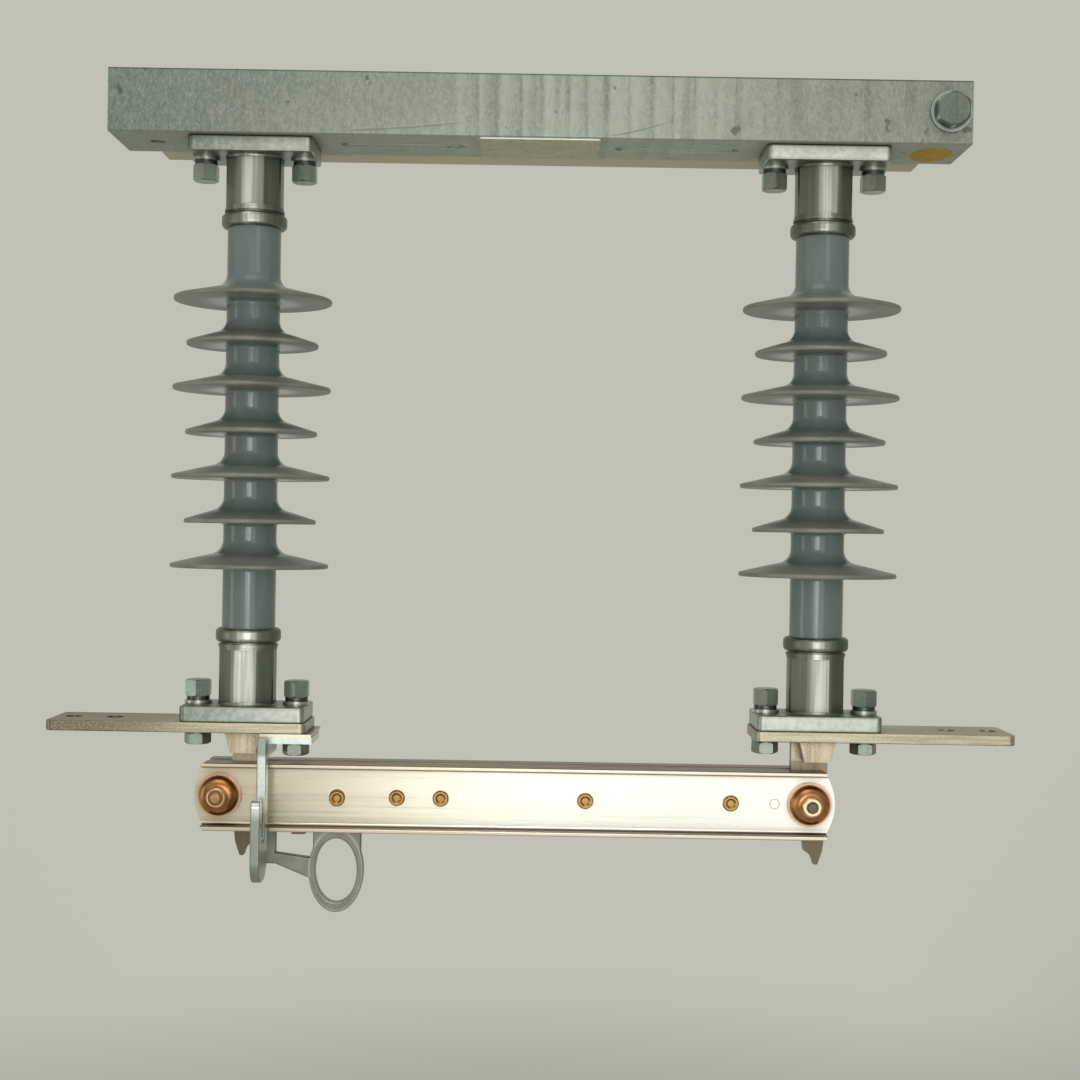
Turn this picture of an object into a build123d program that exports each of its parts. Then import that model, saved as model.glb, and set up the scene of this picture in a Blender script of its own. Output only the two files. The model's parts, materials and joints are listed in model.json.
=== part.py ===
from build123d import *
from math import cos, radians, tan
import os

# Hook-stick disconnect switch, hung under a beam. Millimetres, +Z up, +X right, +Y to the back.
# The pieces are drawn about the centre of the base channel's web, on its inner (upper) face, and set
# down last with the origin in the middle of the mounting bar's back face, which goes against the wall.
# The two insulators hang at equal distances, the jaw on the left and the hinge on the right.

# Base channel, flanges up
BASE_END_OVERHANG = 106.0
BASE_DEPTH = 70.0
BASE_HEIGHT = 48.0
BASE_WALL = 5.0
BASE_EDGE_RADIUS = 1.5
BASE_ROOT_RADIUS = 6.0
BEAM_SLOT_FROM_INSULATOR = 114.0
BEAM_SLOT_LENGTH = 96.0
BEAM_SLOT_WIDTH = 14.0
DRAIN_HOLE_INSET = 30.0
DRAIN_HOLE_DIAMETER = 11.0

# Mounting bar behind the base channel
MOUNTING_BAR_INSET = 25.0
MOUNTING_BAR_SIZE = 32.0
MOUNTING_BAR_WALL = 3.0
MOUNTING_BAR_RADIUS = 4.0
MOUNTING_BOLT_INSET = 31.0
MOUNTING_BOLT_DIAMETER = 8.0
MOUNTING_BOLT_ACROSS_FLATS = 13.0
MOUNTING_BOLT_HEAD = 5.2
MOUNTING_NUT_HEIGHT = 6.4
THREAD_END = 3.0

# Nameplate under the web, left plain
NAMEPLATE_LENGTH = 92.0
NAMEPLATE_INSET = 1.0
NAMEPLATE_THICKNESS = 1.0
NAMEPLATE_CORNER_RADIUS = 2.0

# Earthing bolt through the front flange of the channel
EARTH_BOLT_DIAMETER = 16.0
EARTH_BOLT_ACROSS_FLATS = 24.0
EARTH_BOLT_HEAD = 10.0
EARTH_NUT_HEIGHT = 12.8
EARTH_WASHER_DIAMETER = 31.0
EARTH_WASHER_EDGE = 1.5
EARTH_WASHER_THICKNESS = 3.0

# Insulators
INSULATOR_SPACING = 440.0
INSULATOR_HEIGHT = 446.0
FLANGE_END_MARGIN = 9.4
FLANGE_DEPTH = 56.0
FLANGE_THICKNESS = 12.0
FLANGE_CORNER_RADIUS = 4.5
FLANGE_EDGE_RADIUS = 1.2
FLANGE_BOLT_SPACING = 76.2
SLEEVE_DIAMETER = 44.5
SLEEVE_ROOT_RADIUS = 2.0
UPPER_SLEEVE_LENGTH = 44.0
LOWER_SLEEVE_LENGTH = 48.0
CRIMP_COUNT = 8
CRIMP_DEPTH = 1.2
CRIMP_FROM_FLANGE = 2.5
CRIMP_FROM_RING = 2.0
END_RING_PROUD = 0.6
END_RING_HEIGHT = 2.0
GROOVE_DEPTH = 1.0
GROOVE_WIDTH = 1.4
BEAD_PROUD = 2.75
BEAD_HEIGHT = 11.0
BEAD_ROUNDING = 3.5
CORE_DIAMETER = 41.0
SHED_COUNT = 7
FIRST_SHED_DROP = 122.0
LAST_SHED_RISE = 118.8
LARGE_SHED_DIAMETER = 121.0
SMALL_SHED_DIAMETER = 101.0
SHED_RIM = 3.2
SHED_RISE = 9.5
SHED_TOP_FILLET = 11.0
SHED_RIM_FILLET = 1.3
SHED_ROOT_FILLET = 2.6

# Bolts that hold the insulators' flanges
FLANGE_BOLT_DIAMETER = 10.0
FLANGE_BOLT_ACROSS_FLATS = 18.0
FLANGE_BOLT_HEAD = 9.0
FLANGE_NUT_HEIGHT = 13.0
WASHER_DIAMETER = 21.0
FLAT_WASHER = 2.5
SPRING_WASHER_DIAMETER = 17.6
SPRING_WASHER = 3.0
BOLT_HOLE_CLEARANCE = 0.5
CHAMFER_CIRCLE = 0.95
CHAMFER_ANGLE = 30.0

# Terminal bars
TERMINAL_OVERHANG = 149.0
TERMINAL_INNER_MARGIN = 10.9
TERMINAL_DEPTH = 56.0
TERMINAL_THICKNESS = 8.0
TERMINAL_CORNER_RADIUS = 5.0
TERMINAL_EDGE_RADIUS = 0.8
TERMINAL_HOLE_DIAMETER = 13.0
TERMINAL_HOLE_SPACING = 32.0
TERMINAL_HOLE_EDGE = 14.5

# Contact posts and tongues under the terminal bars
PIVOT_DROP = 50.0
POST_TOP_WIDTH = 28.0
POST_BOTTOM_WIDTH = 20.0
POST_DEPTH = 40.0
POST_SWING_CLEARANCE = 8.0
TONGUE_THICKNESS = 10.0
TONGUE_WIDTH = 20.0
HINGE_PLATE_EXTRA = 8.0
TONGUE_TAPER_DROP = 12.0
TONGUE_SHOULDER_WIDTH = 14.0
TONGUE_SHOULDER_DROP = 10.5
TONGUE_TIP_LENGTH = 21.0
TONGUE_TIP_WIDTH = 3.0
TONGUE_TIP_OFFSET = 2.0
TONGUE_HOLLOW = 1.2
JAW_PAD_LENGTH = 39.0
JAW_PAD_THICKNESS = 2.5
JAW_PAD_GAP = 0.3

# Blade: two channels, back to back, with the tongues between their webs
HINGE_OFFSET = -4.0
JAW_BOLT_OFFSET = 19.0
BLADE_HEIGHT = 52.0
BLADE_DEPTH = 40.0
BLADE_WEB = 4.0
BLADE_LIP = 3.4
BLADE_ROOT_RADIUS = 2.0
BLADE_EDGE_RADIUS = 0.9
BLADE_SIDE_GAP = 0.3
BLADE_END_OVERHANG = 19.5
BLADE_END_CORNER = 10.5
HINGE_PIN_DIAMETER = 12.0
HINGE_PIN_CLEARANCE = 0.1
JAW_BOLT_DIAMETER = 8.0
PLUG_OFFSET = 27.0
PLUG_DIAMETER = 8.0
PLUG_GROOVE_WIDTH = 0.6
PLUG_GROOVE_DEPTH = 0.8

# Spring cups at both ends of the blade
CUP_DIAMETER = 34.0
CUP_HEIGHT = 10.0
CUP_WALL = 1.8
CUP_RIM_WIDTH = 1.6
CUP_BULGE = 1.5
CUP_CROWN_DIAMETER = 17.0
COLLAR_DIAMETER = 15.0
COLLAR_HEIGHT = 5.0
COLLAR_EDGE = 1.0
PIN_END_DIAMETER = 8.6
PIN_END_HEIGHT = 2.0
PIN_END_CHAMFER = 0.8

# Rivets along the blade: two measured from the jaw insulator's axis, two from the hinge insulator's
RIVETS_FROM_JAW = (117.9, 151.7)
RIVETS_FROM_HINGE = (176.9, 64.7)
RIVET_SHANK = 7.0
RIVET_HEAD = 12.0
RIVET_HEAD_HEIGHT = 2.2
RIVET_HEAD_EDGE = 0.7
RIVET_DISH_DIAMETER = 8.0
RIVET_DISH_DEPTH = 1.2
RIVET_DISH_SLOPE = 1.5
RIVET_SPACER = 14.0
RIVET_HOLE_CLEARANCE = 0.1

# Pull-ring lever, pivoted between the blade's two channels
LEVER_PIVOT_FROM_JAW = 71.8
LEVER_PIVOT_DROP = 1.0
LEVER_PIN_DIAMETER = 8.0
LEVER_SIDE_CLEARANCE = 1.3
LEVER_BODY_REACH_LEFT = 18.8
LEVER_BODY_REACH_RIGHT = 18.2
LEVER_BODY_TOP_RADIUS = 9.0
LEVER_EDGE_RADIUS = 1.2
RING_OFFSET = 0.8
RING_DROP = 58.0
RING_HALF_WIDTH = 21.3
RING_HALF_HEIGHT = 32.4
RING_SIDE_BAR = 5.2
RING_END_BAR = 7.7
LATCH_FINGER_GAP = 6.5
LATCH_FINGER_WIDTH = 7.5
LATCH_FINGER_TOP_DROP = 12.0
LATCH_ARM_TOP_DROP = 45.0
LATCH_ARM_END_HEIGHT = 8.5
LATCH_ARM_ROOT_HEIGHT = 17.0
LATCH_ARM_ROOT_DROP = 4.0
LATCH_STOP_GAP = 12.5
LATCH_STOP_LEVER_GAP = 6.0
LATCH_STOP_DEPTH_BELOW = 4.0
LATCH_STOP_HEIGHT = 14.0

# Guide hook in front of the blade, clamped under the left terminal
HOOK_THICKNESS = 7.0
HOOK_FOOT_LENGTH = 33.0
HOOK_FOOT_THICKNESS = 5.0
HOOK_FOOT_BACK = 15.0
HOOK_BLADE_CLEARANCE = 5.0
HOOK_ARM_CLEARANCE = 6.0
HOOK_SHANK_DEPTH = 12.0
HOOK_SLOT_DEPTH = 14.0
HOOK_HORN_DEPTH = 11.0
HOOK_HORN_TOP_DROP = 4.0
HOOK_SLOT_BOTTOM_DROP = 30.0
HOOK_BOTTOM_DROP = 59.0
HOOK_BOTTOM_RADIUS = 16.0
HOOK_EDGE_RADIUS = 1.0
HOOK_END_FLAT = 1.0

# Lengths and levels worked out from the sizes above
HALF_SPACING = INSULATOR_SPACING / 2
HALF_BASE = HALF_SPACING + BASE_END_OVERHANG
HALF_BAR = HALF_BASE - MOUNTING_BAR_INSET
MOUNTING_BOLT_X = HALF_BAR - MOUNTING_BOLT_INSET
FLANGE_LENGTH = FLANGE_BOLT_SPACING + 2 * FLANGE_END_MARGIN
BEAD_DIAMETER = SLEEVE_DIAMETER + 2 * BEAD_PROUD
TERMINAL_INNER_END = FLANGE_BOLT_SPACING / 2 + TERMINAL_INNER_MARGIN
WEB_UNDERSIDE = -BASE_WALL
CHANNEL_TOP = BASE_HEIGHT - BASE_WALL
MOUNTING_BAR_MIDDLE = WEB_UNDERSIDE + MOUNTING_BAR_SIZE / 2
MOUNTING_BAR_BACK = BASE_DEPTH / 2 + MOUNTING_BAR_SIZE
EARTH_BOLT_X = HALF_BASE - EARTH_WASHER_EDGE - EARTH_WASHER_DIAMETER / 2
EARTH_BOLT_Z = (WEB_UNDERSIDE + CHANNEL_TOP) / 2
HOUSING_TOP = WEB_UNDERSIDE - FLANGE_THICKNESS - UPPER_SLEEVE_LENGTH - BEAD_HEIGHT
SHED_PITCH = (INSULATOR_HEIGHT - FIRST_SHED_DROP - LAST_SHED_RISE) / (SHED_COUNT - 1)
LOWER_FLANGE_UNDERSIDE = WEB_UNDERSIDE - INSULATOR_HEIGHT
HOUSING_BOTTOM = LOWER_FLANGE_UNDERSIDE + FLANGE_THICKNESS + LOWER_SLEEVE_LENGTH + BEAD_HEIGHT
TERMINAL_UNDERSIDE = LOWER_FLANGE_UNDERSIDE - TERMINAL_THICKNESS
PIVOT_Z = TERMINAL_UNDERSIDE - PIVOT_DROP
BLADE_TOP = PIVOT_Z + BLADE_HEIGHT / 2
BLADE_BOTTOM = PIVOT_Z - BLADE_HEIGHT / 2
POST_BOTTOM = BLADE_TOP + POST_SWING_CLEARANCE
HINGE_X = HALF_SPACING + HINGE_OFFSET
JAW_BOLT_X = -HALF_SPACING - JAW_BOLT_OFFSET
WEB_INNER_Y = TONGUE_THICKNESS / 2 + BLADE_SIDE_GAP
WEB_OUTER_Y = WEB_INNER_Y + BLADE_WEB
LEVER_THICKNESS = 2 * (WEB_INNER_Y - LEVER_SIDE_CLEARANCE)
LEVER_PIVOT_X = -HALF_SPACING + LEVER_PIVOT_FROM_JAW
LEVER_PIVOT_Z = PIVOT_Z - LEVER_PIVOT_DROP
LEVER_BODY_LEFT = LEVER_PIVOT_X - LEVER_BODY_REACH_LEFT
RING_CENTRE_X = LEVER_PIVOT_X - RING_OFFSET
LATCH_FINGER_LEFT = -HALF_SPACING + TONGUE_WIDTH / 2 + LATCH_FINGER_GAP
LATCH_FINGER_RIGHT = LATCH_FINGER_LEFT + LATCH_FINGER_WIDTH
JAW_POST_SIDE = -HALF_SPACING + POST_TOP_WIDTH / 2
HOOK_RIGHT = JAW_POST_SIDE + HOOK_THICKNESS


def block(x_range, y_range, z_range):
    """A box between two corners, each range being (low, high)."""
    sizes = [high - low for low, high in (x_range, y_range, z_range)]
    centre = [(low + high) / 2 for low, high in (x_range, y_range, z_range)]
    return Pos(*centre) * Box(*sizes)


def upright(x, y, z_range, diameter):
    """A round bar along Z."""
    low, high = z_range
    return Pos(x, y, (low + high) / 2) * Cylinder(diameter / 2, high - low)


def crosswise(x, z, y_range, diameter):
    """A round bar along Y."""
    low, high = y_range
    return Pos(x, (low + high) / 2, z) * Rot(90, 0, 0) * Cylinder(diameter / 2, high - low)


def hexagon(across_flats, height, turn=0.0):
    """A hexagonal prism along Z, standing on the XY plane, its corners turned off at both ends."""
    outline = Rot(0, 0, turn) * RegularPolygon(across_flats / 2, 6, major_radius=False)
    face = CHAMFER_CIRCLE * across_flats / 2
    corner = across_flats / 2 / cos(radians(30))
    drop = (corner - face) * tan(radians(CHAMFER_ANGLE))
    turned = make_face(Polyline((0, 0), (face, 0), (corner, drop), (corner, height - drop), (face, height),
                                (0, height), close=True))
    return extrude(outline, height) & revolve(Plane.XZ * turned, Axis.Z)


def plate_xz(points, y_range):
    """A flat plate whose outline is drawn in X and Z."""
    low, high = y_range
    outline = Plane.XZ * make_face(Polyline(*points, close=True))
    return Pos(0, high, 0) * extrude(outline, high - low)


def plate_yz(outline, x_range):
    """A flat plate whose face is drawn in Y and Z."""
    low, high = x_range
    return Pos(low, 0, 0) * extrude(Plane.YZ * outline, high - low)


def clearance_hole(diameter):
    return diameter + 2 * BOLT_HOLE_CLEARANCE


def bolt_places(side):
    """X of the two flange bolts of one insulator, the outer one first."""
    centre = side * HALF_SPACING
    return [centre + side * FLANGE_BOLT_SPACING / 2, centre - side * FLANGE_BOLT_SPACING / 2]


def base_channel():
    half_depth = BASE_DEPTH / 2
    outside = block((-HALF_BASE, HALF_BASE), (-half_depth, half_depth), (WEB_UNDERSIDE, CHANNEL_TOP))
    outside = fillet(outside.edges().filter_by(Axis.X), BASE_EDGE_RADIUS)
    inner_half = half_depth - BASE_WALL
    trough = block((-2 * HALF_BASE, 2 * HALF_BASE), (-inner_half, inner_half), (0, BASE_HEIGHT))
    trough = fillet(trough.edges().filter_by(Axis.X).group_by(Axis.Z)[0], BASE_ROOT_RADIUS)
    channel = outside - trough
    web = (WEB_UNDERSIDE - 1, 1)
    for side in (-1, 1):
        slot = extrude(SlotOverall(BEAM_SLOT_LENGTH, BEAM_SLOT_WIDTH), BASE_WALL + 2)
        slot_x = side * (HALF_SPACING - BEAM_SLOT_FROM_INSULATOR)
        channel -= Pos(slot_x, 0, WEB_UNDERSIDE - 1) * slot
        for x in bolt_places(side):
            channel -= upright(x, 0, web, clearance_hole(FLANGE_BOLT_DIAMETER))
        rear = (inner_half - 1, half_depth + 1)
        hole = clearance_hole(MOUNTING_BOLT_DIAMETER)
        channel -= crosswise(side * MOUNTING_BOLT_X, MOUNTING_BAR_MIDDLE, rear, hole)
    channel -= upright(DRAIN_HOLE_INSET - HALF_BASE, 0, web, DRAIN_HOLE_DIAMETER)
    front = (-half_depth - 1, -inner_half + 1)
    hole = clearance_hole(EARTH_BOLT_DIAMETER)
    channel -= crosswise(EARTH_BOLT_X, EARTH_BOLT_Z, front, hole)
    return channel


def rear_mounting_bar():
    """A square tube behind the base channel, level with its underside. Its back goes against the wall."""
    front = BASE_DEPTH / 2
    top = WEB_UNDERSIDE + MOUNTING_BAR_SIZE
    bar = block((-HALF_BAR, HALF_BAR), (front, MOUNTING_BAR_BACK), (WEB_UNDERSIDE, top))
    bar = fillet(bar.edges().filter_by(Axis.X), MOUNTING_BAR_RADIUS)
    wall = MOUNTING_BAR_WALL
    bar -= block((-HALF_BASE, HALF_BASE), (front + wall, MOUNTING_BAR_BACK - wall),
                 (WEB_UNDERSIDE + wall, top - wall))
    hole = clearance_hole(MOUNTING_BOLT_DIAMETER)
    for side in (-1, 1):
        bar -= crosswise(side * MOUNTING_BOLT_X, MOUNTING_BAR_MIDDLE, (front - 1, front + wall + 1), hole)
    return bar


def mounting_bar_bolts():
    """Two bolts, their heads inside the base channel and their nuts inside the mounting bar."""
    head_face = BASE_DEPTH / 2 - BASE_WALL
    nut_face = BASE_DEPTH / 2 + MOUNTING_BAR_WALL
    nut_end = nut_face + MOUNTING_NUT_HEIGHT
    bolts = []
    for side in (-1, 1):
        x, z = side * MOUNTING_BOLT_X, MOUNTING_BAR_MIDDLE
        shank = (head_face - MOUNTING_BOLT_HEAD, nut_end + THREAD_END)
        bolt = crosswise(x, z, shank, MOUNTING_BOLT_DIAMETER)
        head = Rot(90, 0, 0) * hexagon(MOUNTING_BOLT_ACROSS_FLATS, MOUNTING_BOLT_HEAD)
        nut = Rot(90, 0, 0) * hexagon(MOUNTING_BOLT_ACROSS_FLATS, MOUNTING_NUT_HEIGHT)
        bolts.append(bolt + Pos(x, head_face, z) * head + Pos(x, nut_end, z) * nut)
    return Compound(children=bolts)


def nameplate():
    """A plain plate on the flat of the web's underside, nearly as deep as the channel."""
    depth = BASE_DEPTH - 2 * (BASE_EDGE_RADIUS + NAMEPLATE_INSET)
    outline = RectangleRounded(NAMEPLATE_LENGTH, depth, NAMEPLATE_CORNER_RADIUS)
    return Pos(0, 0, WEB_UNDERSIDE - NAMEPLATE_THICKNESS) * extrude(outline, NAMEPLATE_THICKNESS)


def earth_bolt():
    """Hexagon head and washer on the front of the channel, nut inside."""
    face = -BASE_DEPTH / 2
    nut_end = face + BASE_WALL + EARTH_NUT_HEIGHT
    x, z = EARTH_BOLT_X, EARTH_BOLT_Z
    washer_face = face - EARTH_WASHER_THICKNESS
    bolt = crosswise(x, z, (washer_face, nut_end + THREAD_END), EARTH_BOLT_DIAMETER)
    bolt += crosswise(x, z, (washer_face, face), EARTH_WASHER_DIAMETER)
    head = Rot(90, 0, 0) * hexagon(EARTH_BOLT_ACROSS_FLATS, EARTH_BOLT_HEAD, 90)
    nut = Rot(90, 0, 0) * hexagon(EARTH_BOLT_ACROSS_FLATS, EARTH_NUT_HEIGHT, 90)
    return bolt + Pos(x, washer_face, z) * head + Pos(x, nut_end, z) * nut


def fitting(side, flange_z, direction, sleeve_length):
    """An insulator's end fitting: flange, crimped sleeve, end ring, groove and bead.

    flange_z is the flange's outer face; direction points to the rubber.
    """
    flange = extrude(RectangleRounded(FLANGE_LENGTH, FLANGE_DEPTH, FLANGE_CORNER_RADIUS), FLANGE_THICKNESS)
    levels = flange.edges().group_by(Axis.Z)
    flange = fillet(levels[0] + levels[-1], FLANGE_EDGE_RADIUS)
    bead_base = FLANGE_THICKNESS + sleeve_length
    ring_top = bead_base - GROOVE_WIDTH
    ring_base = ring_top - END_RING_HEIGHT
    body = flange + upright(0, 0, (FLANGE_THICKNESS, ring_base), SLEEVE_DIAMETER)
    around_root = (FLANGE_THICKNESS - FLANGE_EDGE_RADIUS / 2, FLANGE_THICKNESS + SLEEVE_ROOT_RADIUS / 2)
    circles = body.edges().filter_by(GeomType.CIRCLE).filter_by_position(Axis.Z, *around_root)
    body = fillet(circles.sort_by(SortBy.RADIUS)[-1], SLEEVE_ROOT_RADIUS)
    crimp_face = SLEEVE_DIAMETER / 2 - CRIMP_DEPTH
    crimp_levels = (FLANGE_THICKNESS + CRIMP_FROM_FLANGE, ring_base - CRIMP_FROM_RING)
    crimp = block((crimp_face, SLEEVE_DIAMETER), (-SLEEVE_DIAMETER, SLEEVE_DIAMETER), crimp_levels)
    for index in range(CRIMP_COUNT):
        body -= Rot(0, 0, index * 360 / CRIMP_COUNT) * crimp
    body += upright(0, 0, (ring_base, ring_top), SLEEVE_DIAMETER + 2 * END_RING_PROUD)
    body += upright(0, 0, (ring_top, bead_base), SLEEVE_DIAMETER - 2 * GROOVE_DEPTH)
    bead = Cylinder(BEAD_DIAMETER / 2, BEAD_HEIGHT)
    bead = fillet(bead.edges().filter_by(GeomType.CIRCLE), BEAD_ROUNDING)
    body += Pos(0, 0, bead_base + BEAD_HEIGHT / 2) * bead
    for offset in (-FLANGE_BOLT_SPACING / 2, FLANGE_BOLT_SPACING / 2):
        body -= upright(offset, 0, (-1, FLANGE_THICKNESS + 1), clearance_hole(FLANGE_BOLT_DIAMETER))
    if direction < 0:
        body = Rot(180, 0, 0) * body
    return Pos(side * HALF_SPACING, 0, flange_z) * body


def insulator_housing(side):
    """The rubber housing: one moulding of core and sheds, large and small in turn."""
    core = CORE_DIAMETER / 2
    half_rim = SHED_RIM / 2
    points = [(core, HOUSING_TOP)]
    radii = []
    for index in range(SHED_COUNT):
        rim_z = WEB_UNDERSIDE - FIRST_SHED_DROP - index * SHED_PITCH
        diameter = LARGE_SHED_DIAMETER if index % 2 == 0 else SMALL_SHED_DIAMETER
        points += [(core, rim_z + half_rim + SHED_RISE), (diameter / 2, rim_z + half_rim),
                   (diameter / 2, rim_z - half_rim), (core, rim_z - half_rim)]
        radii += [SHED_TOP_FILLET, SHED_RIM_FILLET, SHED_RIM_FILLET, SHED_ROOT_FILLET]
    points.append((core, HOUSING_BOTTOM))
    skin = FilletPolyline(*points, radius=radii)
    axis_line = Polyline((core, HOUSING_BOTTOM), (0, HOUSING_BOTTOM), (0, HOUSING_TOP),
                         (core, HOUSING_TOP))
    profile = Plane.XZ * make_face(Curve() + [skin, axis_line])
    return Pos(side * HALF_SPACING, 0, 0) * revolve(profile, Axis.Z)


def flange_bolt(x, head_face, nut_face):
    """One bolt along Z between two faces: a washer under its head, a flat and a spring one under its nut."""
    up = 1 if nut_face > head_face else -1
    head_seat = head_face - up * FLAT_WASHER
    spring_seat = nut_face + up * FLAT_WASHER
    nut_seat = spring_seat + up * SPRING_WASHER
    bolt = upright(x, 0, sorted((head_seat, nut_seat)), FLANGE_BOLT_DIAMETER)
    bolt += upright(x, 0, sorted((head_seat, head_face)), WASHER_DIAMETER)
    bolt += upright(x, 0, sorted((nut_face, spring_seat)), WASHER_DIAMETER)
    bolt += upright(x, 0, sorted((spring_seat, nut_seat)), SPRING_WASHER_DIAMETER)
    head_base = min(head_seat, head_seat - up * FLANGE_BOLT_HEAD)
    nut_base = min(nut_seat, nut_seat + up * FLANGE_NUT_HEIGHT)
    bolt += Pos(x, 0, head_base) * hexagon(FLANGE_BOLT_ACROSS_FLATS, FLANGE_BOLT_HEAD)
    bolt += Pos(x, 0, nut_base) * hexagon(FLANGE_BOLT_ACROSS_FLATS, FLANGE_NUT_HEIGHT, 30)
    return bolt


def upper_flange_bolts(side):
    return Compound(children=[flange_bolt(x, 0, WEB_UNDERSIDE - FLANGE_THICKNESS)
                              for x in bolt_places(side)])


def lower_flange_bolts(side):
    """The jaw side's inner bolt also clamps the jaw's pad and the guide hook's foot."""
    top = LOWER_FLANGE_UNDERSIDE + FLANGE_THICKNESS
    bolts = []
    for place, x in enumerate(bolt_places(side)):
        clamped = place == 1 and side < 0
        low = TERMINAL_UNDERSIDE - (JAW_PAD_THICKNESS + HOOK_FOOT_THICKNESS if clamped else 0)
        bolts.append(flange_bolt(x, low, top))
    return Compound(children=bolts)


def terminal_bar(side):
    half = TERMINAL_DEPTH / 2
    outer = side * (HALF_SPACING + TERMINAL_OVERHANG)
    inner = side * (HALF_SPACING - TERMINAL_INNER_END)
    bar = block(sorted((inner, outer)), (-half, half), (TERMINAL_UNDERSIDE, LOWER_FLANGE_UNDERSIDE))
    bar = fillet(bar.edges().filter_by(Axis.Z), TERMINAL_CORNER_RADIUS)
    levels = bar.edges().group_by(Axis.Z)
    bar = fillet(levels[0] + levels[-1], TERMINAL_EDGE_RADIUS)
    through = (TERMINAL_UNDERSIDE - 1, LOWER_FLANGE_UNDERSIDE + 1)
    for x in bolt_places(side):
        bar -= upright(x, 0, through, clearance_hole(FLANGE_BOLT_DIAMETER))
    for step in (0, 1):
        x = outer - side * (TERMINAL_HOLE_EDGE + step * TERMINAL_HOLE_SPACING)
        bar -= upright(x, 0, through, TERMINAL_HOLE_DIAMETER)
    return bar


def contact_post(side):
    """The two tapered bosses under a terminal bar, one on each face of the tongue, narrow at the foot."""
    top, bottom = POST_TOP_WIDTH / 2, POST_BOTTOM_WIDTH / 2
    centre = side * HALF_SPACING
    outline = [(centre - top, TERMINAL_UNDERSIDE), (centre + top, TERMINAL_UNDERSIDE),
               (centre + bottom, POST_BOTTOM), (centre - bottom, POST_BOTTOM)]
    near, far = TONGUE_THICKNESS / 2, POST_DEPTH / 2
    return Compound(children=[plate_xz(outline, (-far, -near)), plate_xz(outline, (near, far))])


def jaw_pad():
    """The thin plate between the left terminal bar and the guide hook's foot."""
    left = JAW_POST_SIDE + JAW_PAD_GAP
    half = TERMINAL_DEPTH / 2
    top = TERMINAL_UNDERSIDE
    pad = block((left, left + JAW_PAD_LENGTH), (-half, half), (top - JAW_PAD_THICKNESS, top))
    through = (top - JAW_PAD_THICKNESS - 1, top + 1)
    pad -= upright(bolt_places(-1)[1], 0, through, clearance_hole(FLANGE_BOLT_DIAMETER))
    return pad


def contact_tongue(side):
    """The flat plate from the terminal bar down between the blade's channels, with a beak below it."""
    half = TONGUE_WIDTH / 2
    shoulder_half = TONGUE_SHOULDER_WIDTH / 2
    taper = PIVOT_Z - TONGUE_TAPER_DROP
    shoulder = BLADE_BOTTOM - TONGUE_SHOULDER_DROP
    tip = BLADE_BOTTOM - TONGUE_TIP_LENGTH
    tip_outer = TONGUE_TIP_OFFSET + TONGUE_TIP_WIDTH / 2
    tip_inner = TONGUE_TIP_OFFSET - TONGUE_TIP_WIDTH / 2
    hollow = ((tip_inner - shoulder_half) / 2 + TONGUE_HOLLOW, (tip + shoulder) / 2 + TONGUE_HOLLOW)
    inner_edge = [(-half, TERMINAL_UNDERSIDE)]
    if side > 0:
        step = PIVOT_Z + TONGUE_TAPER_DROP
        wide = half + HINGE_PLATE_EXTRA
        inner_edge = [(-half, step), (-wide, step), (-wide, TERMINAL_UNDERSIDE)]

    def at(u, z):
        return (side * (HALF_SPACING + u), z)

    profile = [(-shoulder_half, shoulder), (-half, taper), *inner_edge, (half, TERMINAL_UNDERSIDE),
               (half, taper), (shoulder_half, shoulder), (tip_outer, tip), (tip_inner, tip)]
    sides = Polyline(*[at(u, z) for u, z in profile])
    beak = ThreePointArc(at(tip_inner, tip), at(*hollow), at(-shoulder_half, shoulder))
    face = Plane.XZ * make_face(Curve() + [sides, beak])
    tongue = Pos(0, TONGUE_THICKNESS / 2, 0) * extrude(face, TONGUE_THICKNESS)
    if side > 0:
        bore = HINGE_PIN_DIAMETER + 2 * HINGE_PIN_CLEARANCE
        tongue -= crosswise(HINGE_X, PIVOT_Z, (-TONGUE_THICKNESS, TONGUE_THICKNESS), bore)
    return tongue


def blade_outline():
    """Side view of the blade in X and Z, both ends a shallow arc."""
    left, right = JAW_BOLT_X - BLADE_END_OVERHANG, HINGE_X + BLADE_END_OVERHANG
    left_corner, right_corner = JAW_BOLT_X - BLADE_END_CORNER, HINGE_X + BLADE_END_CORNER
    edges = [Line((left_corner, BLADE_TOP), (right_corner, BLADE_TOP)),
             ThreePointArc((right_corner, BLADE_TOP), (right, PIVOT_Z), (right_corner, BLADE_BOTTOM)),
             Line((right_corner, BLADE_BOTTOM), (left_corner, BLADE_BOTTOM)),
             ThreePointArc((left_corner, BLADE_BOTTOM), (left, PIVOT_Z), (left_corner, BLADE_TOP))]
    return make_face(Curve() + edges)


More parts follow.
